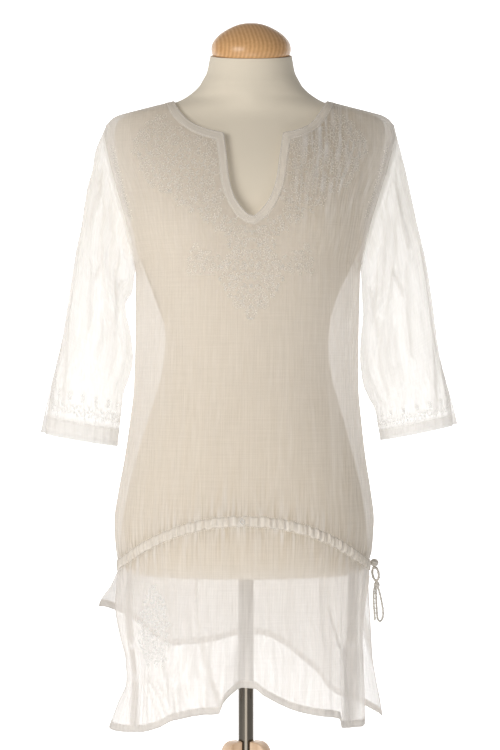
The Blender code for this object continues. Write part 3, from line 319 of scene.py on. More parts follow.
# the drawstring's tied ends at the wearer's left hip, measured from the pole
TIE_KNOT_UPPER = (0.1817, -0.0092, 0.7515)
TIE_KNOT_LOWER = (0.1846, -0.015, 0.7205)
TIE_KNOT_RADII = ((0.0062, 0.0052, 0.0056), (0.0044, 0.0042, 0.0056))
TIE_BOW_ACROSS = (0.0042, -0.0034, 0.0)
BOW_DIAMETER = 0.004
TIE_LOOP_ROUTE = table("""
    .1868 -.0132 .7162; .1888 -.0122 .7095; .1908 -.0112 .701; .1926 -.0104 .692;
    .1938 -.01 .684; .1939 -.0103 .677; .1921 -.0117 .6712; .1893 -.0137 .6692;
    .1866 -.0156 .6714; .1851 -.0167 .6775; .1846 -.0171 .685; .184 -.0172 .694;
    .1836 -.017 .704; .1835 -.0163 .712; .1836 -.0158 .7162""")
TIE_END_ROUTE = table("""
    .1815 -.0175 .7179; .1802 -.0198 .712; .1797 -.0222 .702; .18 -.023 .692; .1809 -.0228 .682;
    .1815 -.0222 .6712""")
CORD_DIAMETER = 0.0033

# outlines of the embroidered areas in the front view, for x >= 0 and mirrored; metres
YOKE_AREA = table("""
    .052 1.337; .066 1.34; .086 1.35; .104 1.366; .12 1.38; .15 1.372; .164 1.345; .158 1.31;
    .142 1.282; .118 1.262; .092 1.246; .066 1.228; .046 1.21; .024 1.198; 0 1.198; 0 1.214;
    .024 1.224; .038 1.246; .046 1.276; .05 1.312""")
PENDANT_AREA = table("""
    0 1.198; .03 1.2; .036 1.178; .044 1.16; .041 1.144; .033 1.128; .022 1.112; .011 1.098;
    0 1.086""")
WING_AREA = table("""
    .044 1.154; .084 1.154; .088 1.17; .076 1.2; .064 1.182; .04 1.178""")
TEARDROP_AREA = table("""
    -.12 .738; -.113 .722; -.106 .704; -.101 .684; -.0985 .662; -.1 .642; -.107 .626;
    -.119 .618; -.132 .624; -.14 .638; -.1435 .66; -.142 .682; -.136 .704; -.128 .724""")


# ---- small maths

def smooth_read(rows: Sequence[NamedTuple], column: str, at: Array) -> Array:
    """Read a named column of a table on a smooth curve through its rows.

    Args:
        rows: The table; its first column is the key.
        column: The column to read.
        at: Keys to read it at.

    Returns:
        The values there, held at the table's ends.
    """
    key = rows[0]._fields[0]
    table = sorted(rows, key=lambda row: getattr(row, key))
    keys = np.array([getattr(row, key) for row in table])
    values = np.array([getattr(row, column) for row in table])
    at = np.clip(np.asarray(at, dtype=float), keys[0], keys[-1])
    steps = np.diff(keys)
    slopes = np.diff(values) / steps
    tangents = np.concatenate([[slopes[0]], np.zeros(len(slopes) - 1), [slopes[-1]]])
    same_way = slopes[:-1] * slopes[1:] > 0
    harmonic = 2 * slopes[:-1] * slopes[1:] / np.where(same_way, slopes[:-1] + slopes[1:], 1.0)
    tangents[1:-1] = np.where(same_way, harmonic, 0.0)
    i = np.clip(np.searchsorted(keys, at, side="right") - 1, 0, len(steps) - 1)
    t = (at - keys[i]) / steps[i]
    rise = t * t * (3 - 2 * t)
    return (values[i] * (1 - rise) + values[i + 1] * rise
            + steps[i] * t * (1 - t) * ((1 - t) * tangents[i] - t * tangents[i + 1]))


def signed_power(base: Array, exponent: Array) -> Array:
    """Raise to a power and keep the sign."""
    return np.sign(base) * np.abs(base) ** exponent


def held(values: Array) -> Array:
    """Values held between 0 and 1."""
    return np.clip(values, 0.0, 1.0)


def pairs(first: Array, second: Array) -> Array:
    """Two grids of numbers, each stretched to the other's shape, side by side."""
    return np.stack(np.broadcast_arrays(first, second), axis=-1)


def smoothstep(low: float, high: float, at: Array) -> Array:
    """0 up to low, 1 from high, a soft ramp between."""
    t = held((at - low) / (high - low))
    return t * t * (3 - 2 * t)


def crease(first: float, last: float, start: float, end: float, at: Array) -> tuple[Array, Array]:
    """Share of the way from first to last, and the place there on the line from start to end."""
    share = (at - first) / (last - first)
    return share, start + (end - start) * share


def lean(points: Array) -> Array:
    """Tilt points with the form on its pole."""
    moved = np.array(points, dtype=float)
    moved[..., 0] += LEAN * (moved[..., 2] - LEAN_PIVOT_Z)
    return moved


def section_point(rows: Sequence[Section], angle: Array, z: Array, back: bool) -> Array:
    """A point on a section table's surface.

    Args:
        rows: The section table.
        angle: 0 in the middle, a quarter turn at the side.
        z: Height.
        back: Whether it is on the back half.

    Returns:
        Points, with x, y and z last.
    """
    half_width = smooth_read(rows, "half_width", z)
    depth = smooth_read(rows, "back" if back else "front", z)
    power = 2.0 / smooth_read(rows, "exponent", z)
    x = half_width * signed_power(np.sin(angle), power)
    y = depth * signed_power(np.cos(angle), power) * (1 if back else -1)
    return np.stack([x, y, z + 0 * x], axis=-1)


def angle_at(x: Array, z: Array) -> Array:
    """The angle on the cloth's section at a place in the front view."""
    ratio = held(np.abs(x) / smooth_read(CLOTH_SECTIONS, "half_width", z))
    half_exponent = smooth_read(CLOTH_SECTIONS, "exponent", z) / 2.0
    return np.sign(x) * np.arcsin(ratio ** half_exponent)


def along_rows(rows: Array, at: Array, corners: Iterable[int] = ()) -> Array:
    """Read a stack of rows at fractional places, smooth except at corner rows.

    Args:
        rows: The stack, one row for each whole number.
        at: Places to read, from 0 to the last row.
        corners: Rows where the curve may turn sharply.

    Returns:
        One row for each place.
    """
    low = np.clip(np.floor(at).astype(int), 0, len(rows) - 2)
    t = (at - low).reshape((-1,) + (1,) * (rows.ndim - 1))
    leaving = np.gradient(rows, axis=0)
    arriving = leaving.copy()
    for row in corners:
        leaving[row] = rows[row + 1] - rows[row]
        arriving[row] = rows[row] - rows[row - 1]
    rise = t * t * (3 - 2 * t)
    ease = t * (1 - t)
    return (rows[low] * (1 - rise) + rows[low + 1] * rise
            + ease * ((1 - t) * leaving[low] - t * arriving[low + 1]))


def unit(vectors: Array) -> Array:
    """Vectors of length 1."""
    return vectors / np.maximum(np.linalg.norm(vectors, axis=-1, keepdims=True), 1e-12)


def running_length(points: Array) -> Array:
    """Distance along the points at each of them."""
    return np.concatenate([[0.0], np.cumsum(np.linalg.norm(np.diff(points, axis=0), axis=1))])


def read_along(run: Array, at: Array, values: Array) -> Array:
    """Columns of values read at distances along their run."""
    return np.stack([np.interp(at, run, column) for column in values.T], axis=-1)


def spline_points(route: Points, count: int) -> Array:
    """Evenly spaced points on a smooth curve through a route."""
    knots = np.array(route, dtype=float)
    padded = np.vstack([2 * knots[0] - knots[1], knots, 2 * knots[-1] - knots[-2]])
    fine = []
    for p0, p1, p2, p3 in zip(padded, padded[1:], padded[2:], padded[3:]):
        for t in np.linspace(0.0, 1.0, 12, endpoint=False):
            fine.append(0.5 * (2 * p1 + (p2 - p0) * t + (2 * p0 - 5 * p1 + 4 * p2 - p3) * t ** 2
                               + (3 * p1 - p0 - 3 * p2 + p3) * t ** 3))
    fine = np.array(fine + [knots[-1]])
    run = running_length(fine)
    return read_along(run, np.linspace(0.0, run[-1], count), fine)


def inside(area: Points, x: float, z: float) -> bool:
    """Whether a place lies inside a closed outline."""
    hit = False
    for (x0, z0), (x1, z1) in zip(area, area[1:] + area[:1]):
        if (z0 > z) != (z1 > z) and x < x0 + (z - z0) / (z1 - z0) * (x1 - x0):
            hit = not hit
    return hit


# ---- shader maths

Operand = Union["Wire", float]


class Wire:
    """A node's output that takes arithmetic."""

    def __init__(self, graph: "Graph", socket: bpy.types.NodeSocket) -> None:
        """Wrap an output socket of a graph."""
        self.graph = graph
        self.socket = socket

    def _math(self, operation: str, left: Operand, right: Operand) -> "Wire":
        """Join two operands with a Math node."""
        return self.graph.add("Math", {"operation": operation}, {0: left, 1: right})

    def __add__(self, other: Operand) -> "Wire":
        """Sum."""
        return self._math("ADD", self, other)

    __radd__ = __add__

    def __sub__(self, other: Operand) -> "Wire":
        """Difference."""
        return self._math("SUBTRACT", self, other)

    def __rsub__(self, other: Operand) -> "Wire":
        """Difference, from a number."""
        return self._math("SUBTRACT", other, self)

    def __mul__(self, other: Operand) -> "Wire":
        """Product."""
        return self._math("MULTIPLY", self, other)

    __rmul__ = __mul__

    def sine(self) -> "Wire":
        """Sine."""
        return self._math("SINE", self, 0.0)

    def clamp(self, low: float = 0.0, high: float = 1.0) -> "Wire":
        """Held between two numbers."""
        return self._math("MINIMUM", self._math("MAXIMUM", self, low), high)


class Graph:
    """A material's nodes."""

    def __init__(self, name: str) -> None:
        """Start an empty material."""
        self.material = bpy.data.materials.new(name)
        self.material.use_nodes = True
        self.tree = self.material.node_tree
        self.tree.nodes.clear()

    def add(self, kind: str, settings: Optional[dict] = None, inputs: Optional[dict] = None,
            output: Union[int, str] = 0) -> Wire:
        """Add a node.

        Args:
            kind: The node's type, without its leading ShaderNode.
            settings: Its own settings, such as a Math node's operation.
            inputs: Values or wires of its sockets, by name or number.
            output: Which output to hand back.

        Returns:
            That output.
        """
        node = self.tree.nodes.new("ShaderNode" + kind)
        for key, value in (settings or {}).items():
            setattr(node, key, value)
        for key, value in (inputs or {}).items():
            if isinstance(value, Wire):
                self.tree.links.new(value.socket, node.inputs[key])
            else:
                node.inputs[key].default_value = value
        return Wire(self, node.outputs[output]) if node.outputs else None

    def noise(self, vector: Wire, scale: Sequence[float], detail: float = 2.0,
              distortion: float = 0.0) -> Wire:
        """Soft noise from 0 to 1, stretched along the axes."""
        stretched = self.add("Mapping", None, {"Vector": vector, "Scale": scale})
        return self.add("TexNoise", {"noise_dimensions": "3D"}, {
            "Vector": stretched, "Scale": 1.0, "Detail": detail, "Distortion": distortion})

    def blend(self, share: Operand, first: object, second: object) -> Wire:
        """Mix two colours."""
        return self.add("Mix", {"data_type": "RGBA"}, {0: share, 6: first, 7: second}, 2)

    def bump(self, height: Wire, strength: float, distance: float) -> Wire:
        """A normal from a height."""
        return self.add("Bump", None,
                        {"Height": height, "Strength": strength, "Distance": distance})

    def parts(self, vector: Wire) -> tuple[Wire, Wire, Wire]:
        """A vector's x, y and z."""
        first = self.add("SeparateXYZ", None, {"Vector": vector})
        return tuple(Wire(self, out) for out in first.socket.node.outputs)

    def cut(self) -> Wire:
        """Flat coordinates of the cloth or cord, in metres."""
        return self.add("UVMap", {"uv_map": "cut"})

    def place(self) -> Wire:
        """Coordinates of the object."""
        return self.add("TexCoord", output="Object")

    def layered(self, share: Operand, first: Wire, second: Wire) -> Wire:
        """One shader over another."""
        return self.add("MixShader", None, {0: share, 1: first, 2: second})

    def principled(self, inputs: dict) -> Wire:
        """The usual surface shader."""
        return self.add("BsdfPrincipled", None, inputs)

    def finish(self, shader: Wire) -> Material:
        """Send a shader to the output."""
        self.add("OutputMaterial", None, {"Surface": shader})
        return self.material


@dataclass(frozen=True)
class Finish:
    """A finish that makes one material and shares it."""

    name: str
    slot = "voile"

    def material(self) -> Material:
        """The finish's material, made once."""
        known = bpy.data.materials.get(self.name)
        return known if known else self.dress(Graph(self.name))

    def dress(self, graph: Graph) -> Material:
        """Build the material's nodes."""
        raise NotImplementedError


@dataclass(frozen=True)
class Voile(Finish):
    """Thin crinkled cotton: slubs along warp and weft, and light passing straight through."""

    colour: Colour = (0.93, 0.92, 0.905, 1.0)
    shade: Colour = (0.86, 0.845, 0.825, 1.0)
    lit: Colour = (0.965, 0.945, 0.93, 1.0)
    thread_share: float = 0.5
    doubled_share: float = 0.36
    glow: float = 0.84
    crinkle: float = 0.4
    slub: float = 0.8
    doubled_glow: float = 0.48
    # painted shade: a darker colour, and how much of it is blended in where the cloth is doubled or
    # crowded, so folds and hems read darker
    fold_shade_colour: Colour = (0.74, 0.7, 0.655, 1.0)
    fold_shade_share: float = 0.85
    yarn: float = 0.00062

    def dress(self, graph: Graph) -> Material:
        """Mix open gaps, thread that glows through and thread that scatters back; doubled and
        crowded cloth is darkened with painted shade.
        """
        cut = graph.cut()
        doubled = graph.add("Attribute", {"attribute_name": "doubled"}, output="Fac")
        crumple = graph.add("Attribute", {"attribute_name": "crumple"}, output="Fac")
        streak = graph.noise(cut, (290.0, 19.0, 1.0), 1.0, 0.5)
        warp = graph.noise(cut, (620.0, 16.0, 1.0), 2.0)
        weft = graph.noise(cut, (14.0, 560.0, 1.0), 1.0)
        broad = graph.noise(cut, (70.0, 9.0, 1.0), 1.0, 0.4)
        u, v, _ = graph.parts(cut)
        weave = (u * (TURN / self.yarn)).sine() * (v * (TURN / self.yarn)).sine()
        # Besides raising the bump, the crease streaks change the glow and the thickness of the
        # cloth: painted light and shade along the creases
        crease = ((streak - 0.5) * crumple * 3.6).clamp(-0.5, 0.5)
        height = warp * 0.8 + broad * 0.8 + crease * 3.0
        dense = (warp - 0.5) * 0.2 + (weft - 0.5) * 0.1 + (broad - 0.5) * 0.12 + weave * 0.02
        dense = dense * self.slub + crease * 0.3
        glow = (self.glow - doubled * self.doubled_glow - crease * 0.9).clamp(0.08, 0.95)
        share = (doubled * self.doubled_share + dense + self.thread_share).clamp(0.06, 0.97)
        normal = graph.bump(height, self.crinkle, 0.0011)
        colour = graph.blend((warp * 0.6 + broad * 0.4).clamp(), self.shade, self.colour)
        # painted shade: doubled, crowded and creased cloth is darkened towards the fold shade
        # colour
        colour = graph.blend((doubled * self.fold_shade_share).clamp(), colour, self.fold_shade_colour)
        cloth = graph.principled({
            "Base Color": colour, "Roughness": 0.92, "Normal": normal, "Sheen Weight": 0.12,
            "Specular IOR Level": 0.18})
        lit = graph.add("BsdfTranslucent", None, {"Color": self.lit})
        thread = graph.layered(glow, cloth, lit)
        gap = graph.add("BsdfTransparent", None, {"Color": (1.0, 1.0, 1.0, 1.0)})
        return graph.finish(graph.layered(share, gap, thread))


@dataclass(frozen=True)
class Thread(Finish):
    """Soft embroidery or sewing thread laid in rows of stitches."""

    colour: Colour = (0.92, 0.895, 0.86, 1.0)
    shade: Colour = (0.84, 0.82, 0.79, 1.0)
    pitch: float = 0.0008
    glow: float = 0.45

    def dress(self, graph: Graph) -> Material:
        """Fine ribs across each stitched line, with a faint lustre; the grooves between ribs are
        painted darker as shade.
        """
        cut = graph.cut()
        u, v, _ = graph.parts(cut)
        ribs = ((u + v * 0.5) * (TURN / self.pitch)).sine()
        fibre = graph.noise(cut, (900.0, 2400.0, 1.0), 2.0)
        # painted shade: the colour darkens in the grooves between the stitch ribs, with random
        # fibre tone on top
        colour = graph.blend((ribs * 0.3 + fibre).clamp(), self.shade, self.colour)
        front = graph.principled({
            "Base Color": colour, "Roughness": (fibre * 0.2 + 0.5).clamp(),
            "Normal": graph.bump(ribs * 0.5 + fibre, 0.4, 0.0002), "Sheen Weight": 0.2})
        lit = graph.add("BsdfTranslucent", None, {"Color": (0.96, 0.95, 0.93, 1.0)})
        return graph.finish(graph.layered(self.glow, front, lit))


@dataclass(frozen=True)
class Jersey(Finish):
    """Stretched cotton knit over a hard shell."""

    slot = "jersey"

    colour: Colour = (0.791, 0.717, 0.594, 1.0)
    shade: Colour = (0.75, 0.675, 0.552, 1.0)

    def dress(self, graph: Graph) -> Material:
        """Fine wales and courses with a broad, faint unevenness."""
        place = graph.place()
        x, y, z = graph.parts(place)
        wales = ((x + y * 0.6) * (TURN / 0.0011)).sine()
        courses = (z * (TURN / 0.0009)).sine()
        cloudy = graph.noise(place, (14.0, 14.0, 9.0), 3.0)
        fluff = graph.noise(place, (520.0, 520.0, 520.0), 3.0)
        height = wales * courses * 0.25 + fluff * 0.8
        colour = graph.blend((cloudy * 0.7 + fluff * 0.4).clamp(), self.shade, self.colour)
        return graph.finish(graph.principled({
            "Base Color": colour, "Roughness": (fluff * 0.15 + 0.75).clamp(),
            "Normal": graph.bump(height, 0.25, 0.0004), "Sheen Weight": 0.2,
            "Specular IOR Level": 0.25}))


@dataclass(frozen=True)
class Beech(Finish):
    """Varnished beech with growth lines and short flecks."""

    slot = "beech"

    grain: Grain = Grain.ALONG
    pale: Colour = (0.8, 0.49, 0.23, 1.0)
    deep: Colour = (0.52, 0.26, 0.095, 1.0)

    def dress(self, graph: Graph) -> Material:
        """Growth lines bent by slow noise, crossed by fine flecks, under satin varnish."""
        place = graph.place()
        along = self.grain is Grain.ALONG
        bend = graph.noise(place, (9.0, 9.0, 1.6) if along else (5.0, 22.0, 22.0), 2.0, 0.8)
        x, y, z = graph.parts(place)
        across = x + y * 0.7 if along else y * 0.8 + z
        if not along:
            pith = graph.add("Mapping", None, {
                "Vector": place, "Location": (-0.052, 0.0, -1.462 * 0.62),
                "Scale": (1.0, 0.5, 0.62)})
            across = graph.add("VectorMath", {"operation": "LENGTH"}, {0: pith}, 1)
        lines = ((across * (330.0 if along else 1750.0)) + bend * (16.0 if along else 5.0)).sine()
        flecks = graph.noise(place, (420.0, 420.0, 26.0) if along else (300.0, 60.0, 300.0), 3.0)
        tone = (lines * 0.26 + flecks * 0.75 + bend * 0.35 - 0.1).clamp()
        return graph.finish(graph.principled({
            "Base Color": graph.blend(tone, self.deep, self.pale),
            "Roughness": (flecks * 0.2 + 0.3).clamp(),
            "Normal": graph.bump(lines * 0.2 + flecks, 0.12, 0.0003),
            "Coat Weight": 0.35, "Coat Roughness": 0.18}))


@dataclass(frozen=True)
class Chrome(Finish):
    """Polished plate with a faint haze, coloured far darker than chrome as a painted reflection of
    dark surroundings.
    """

    slot = "chrome"

    # painted reflection: the plate's colour is set very dark to stand in for the dark room it
    # reflects
    colour: Colour = (0.145, 0.13, 0.11, 1.0)

    def dress(self, graph: Graph) -> Material:
        """Mirror metal, painted dark, slightly uneven in roughness and in its dark tone."""
        place = graph.place()
        haze = graph.noise(place, (60.0, 60.0, 14.0), 3.0)
        scuff = graph.noise(place, (900.0, 900.0, 40.0), 2.0)
        return graph.finish(graph.principled({
            "Base Color": graph.blend(haze, (0.12, 0.107, 0.09, 1.0), self.colour),
            "Metallic": 1.0, "Roughness": (haze * 0.06 + 0.05).clamp(),
            "Normal": graph.bump(scuff, 0.03, 0.0002)}))


@dataclass(frozen=True)
class Cotton(Finish):
    """A rolled cotton cord with twisted strands."""

    slot = "cord"

    colour: Colour = (0.8, 0.765, 0.71, 1.0)
    shade: Colour = (0.56, 0.52, 0.465, 1.0)
    twist: float = 0.0044

    def dress(self, graph: Graph) -> Material:
        """Strands that wind round the cord, from its length and turn; the grooves between strands
        are painted darker as shade.
        """
        cut = graph.cut()
        u, v, _ = graph.parts(cut)
        strands = (u * (TURN / self.twist) + v * (4 * math.pi)).sine()
        fibre = graph.noise(cut, (1800.0, 30.0, 1.0), 3.0)
        # painted shade: the tone drops in the grooves between strands, with random fibre tone on
        # top
        tone = (strands * 0.35 + fibre * 0.4 + 0.4).clamp()
        return graph.finish(graph.principled({
            "Base Color": graph.blend(tone, self.shade, self.colour), "Roughness": 0.88,
            "Normal": graph.bump(strands + fibre * 0.6, 0.8, 0.0004), "Sheen Weight": 0.2}))


@dataclass(frozen=True)
class StudioWhite(Finish):
    """Seamless paper, lit on its own at the back."""

    floor_glow: float = 0.3
    wall_glow: float = 0.97

    def dress(self, graph: Graph) -> Material:
        """White paper whose glow grows towards the back wall."""
        place = graph.place()
        _, y, _ = graph.parts(place)
        share = ((y - 0.6) * 0.9).clamp()
        low, high = (self.floor_glow,) * 3 + (1.0,), (self.wall_glow,) * 3 + (1.0,)
        return graph.finish(graph.principled({
            "Base Color": (0.85, 0.85, 0.85, 1.0), "Roughness": 0.9, "Specular IOR Level": 0.0,
            "Emission Color": graph.blend(share, low, high), "Emission Strength": 1.0}))


VOILE = Voile("crinkled_voile")
VOILE_SLEEVE = Voile("sleeve_voile", lit=(0.99, 0.98, 0.965, 1.0), thread_share=0.37,
                     doubled_share=0.5, glow=0.86, slub=0.55)
VOILE_TRIM = Voile("folded_voile", colour=(0.93, 0.885, 0.82, 1.0),
                   shade=(0.875, 0.825, 0.755, 1.0), thread_share=0.36, doubled_share=0.34,
                   glow=0.22, doubled_glow=0.1, fold_shade_share=0.35)
BODY_THREAD = Thread("body_embroidery", colour=(0.88, 0.855, 0.815, 1.0),
                     shade=(0.78, 0.75, 0.705, 1.0))
EDGE_THREAD = Thread("edge_embroidery", colour=(0.98, 0.975, 0.965, 1.0),
                     shade=(0.93, 0.92, 0.905, 1.0), glow=0.28)
SEWING = Thread("sewing_thread", colour=(0.9, 0.885, 0.865, 1.0), pitch=0.0006)
JERSEY = Jersey("stretched_jersey")
BEECH_TURNED = Beech("beech_turned", grain=Grain.ACROSS)
BEECH_STAND = Beech("beech_stand", pale=(0.8, 0.6, 0.43, 1.0), deep=(0.58, 0.38, 0.235, 1.0))
CHROME = Chrome("plated_tube")
COTTON = Cotton("cotton_cord")


# ---- making pieces

@dataclass
class Workshop:
    """Turns laid-out shapes into finished pieces at the pole's place."""

    origin: Array

    def grid(self, bm: Mesh, points: Array, cut: Array,
             doubled: Optional[Array] = None, breaks: Sequence[int] = (),
             outside: Optional[Array] = None, crumple: Optional[Array] = None) -> None:
        """Add a grid to a mesh and map it to rows of points.

        Args:
            bm: The mesh that takes it.
            points: Rows by columns by three, round the pole.
            cut: Flat coordinates of the same points, in metres.
            doubled: How far the cloth is doubled there, from 0 to 1.
            breaks: Rows after which the strip of faces is left out.
            outside: Directions that its faces have to look in, one for each point.
            crumple: How creased the cloth is there, from 0 to 1.
        """
        rows, columns = points.shape[:2]
        plain = bmesh.new()
        bmesh.ops.create_grid(plain, x_segments=columns - 1, y_segments=rows - 1, size=1.0)
        mesh = bpy.data.meshes.new("plan")
        plain.to_mesh(mesh)
        plain.free()
        flat = np.empty(len(mesh.vertices) * 3)
        mesh.vertices.foreach_get("co", flat)
        flat = (flat.reshape(-1, 3)[:, :2] + 1) / 2 * (columns - 1, rows - 1)
        column, row = np.rint(flat).astype(int).T
        mesh.vertices.foreach_set("co", (points[row, column] + self.origin).ravel())
        for name, share in (("doubled", doubled), ("crumple", crumple)):
            share = np.zeros(points.shape[:2]) if share is None else share
            own = mesh.attributes.new(name, "FLOAT", "POINT")
            own.data.foreach_set("value", share[row, column])
        corner = np.empty(len(mesh.loops), dtype=int)
        mesh.loops.foreach_get("vertex_index", corner)
        mesh.uv_layers.new(name="cut").uv.foreach_set("vector", cut[row, column][corner].ravel())
        if outside is not None:
            across, up = points[1:-1, 2:] - points[1:-1, :-2], points[2:, 1:-1] - points[:-2, 1:-1]
            if (np.cross(across, up) * outside[1:-1, 1:-1]).sum() <= 0.0:
                mesh.flip_normals()
        first = len(bm.faces)
        bm.from_mesh(mesh)
        if len(breaks):
            lowest = row[corner].reshape(-1, 4).min(axis=1)
            bm.faces.ensure_lookup_table()
            loose = [bm.faces[first + index] for index in np.flatnonzero(np.isin(lowest, breaks))]
            bmesh.ops.delete(bm, geom=loose, context="FACES")
        bpy.data.meshes.remove(mesh)

    def piece(self, name: str, bm: Mesh, finish: Finish, merge: float = 0.0,
              wall: float = 0.0, sharp: float = 60.0) -> Piece:
        """Make an object of a mesh.

        Args:
            name: The object's name.
            bm: Its mesh, freed here.
            finish: Its finish.
            merge: Distance under which points are joined.
            wall: Thickness given inwards, if any.
            sharp: Edges that turn more than this many degrees stay sharp.

        Returns:
            The object, which rides on the part.
        """
        if merge > 0.0:
            bmesh.ops.remove_doubles(bm, verts=bm.verts, dist=merge)
        mesh = bpy.data.meshes.new(name)
        bm.to_mesh(mesh)
        bm.free()
        mesh.shade_smooth()
        mesh.set_sharp_from_angle(angle=math.radians(sharp))
        obj = bpy.data.objects.new(name, mesh)
        bpy.context.scene.collection.objects.link(obj)
        mesh.materials.append(finish.material())
        if wall > 0.0:
            solid = obj.modifiers.new("wall", "SOLIDIFY")
            solid.thickness = wall
            solid.offset = -1.0
        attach(obj, "root")
        LOG.info("%s: %d faces", name, len(mesh.polygons))
        return obj


def weld(bm: Mesh, distance: float = 1e-6) -> None:
    """Merge a mesh's doubles and turn its faces outwards."""
    bmesh.ops.remove_doubles(bm, verts=bm.verts, dist=distance)
    bmesh.ops.recalc_face_normals(bm, faces=bm.faces)


def fill_holes(bm: Mesh) -> None:
    """Close a mesh's open rims."""
    bmesh.ops.holes_fill(bm, edges=[edge for edge in bm.edges if edge.is_boundary])


def spun(profile: Points, steps: int) -> Mesh:
    """Spin a profile of radius and height round the upright axis."""
    bm = bmesh.new()
    made = [bm.verts.new((radius, 0.0, height)) for radius, height in profile]
    edges = [bm.edges.new(pair) for pair in zip(made, made[1:])]
    bmesh.ops.spin(bm, geom=made + edges, cent=(0, 0, 0), axis=(0, 0, 1), steps=steps, angle=TURN,
                   use_merge=True)
    weld(bm)
    return bm


@dataclass
class StripBook:
    """Many small raised strips gathered into one piece: stitches, leaves, stems and seams."""

    girth: float = 0.002
    rows: list = field(default_factory=list)
    cuts: list = field(default_factory=list)
    breaks: list = field(default_factory=list)
    count: int = 0

    def add(self, centre: Array, normal: Array, half_width: Union[float, Array],
            height: float, sink: float = 0.0001) -> None:
        """Add one closed strip with a four-sided section.

        Args:
            centre: Points along its middle, on the cloth.
            normal: The cloth's normals there.
            half_width: Half its width, one number or one for each point.
            height: How far its ridge stands off the cloth.
            sink: How far its underside lies in the cloth.
        """
        tangent = unit(np.gradient(centre, axis=0))
        across = unit(np.cross(normal, tangent))
        half = np.broadcast_to(np.asarray(half_width, dtype=float), (len(centre),))[:, None]
        share = half / max(float(half.max()), 1e-9)
        left, right = centre - across * half, centre + across * half
        top, under = centre + normal * height * share, centre - normal * sink * share
        self.rows.append(np.stack([left, top, right, under, left], axis=1))
        turn = np.linspace(0.0, 1.0, 5) * self.girth
        self.cuts.append(pairs(running_length(centre)[:, None], turn[None, :]))
        self.count += len(centre)
        self.breaks.append(self.count - 1)

    def bind(self, shop: Workshop, name: str, finish: Finish) -> Piece:
        """Make the piece."""
        bm = bmesh.new()
        shop.grid(bm, np.concatenate(self.rows), np.concatenate(self.cuts), breaks=self.breaks)
        weld(bm, 2e-6)
        return shop.piece(name, bm, finish, sharp=80.0)


# ---- the tunic's surface

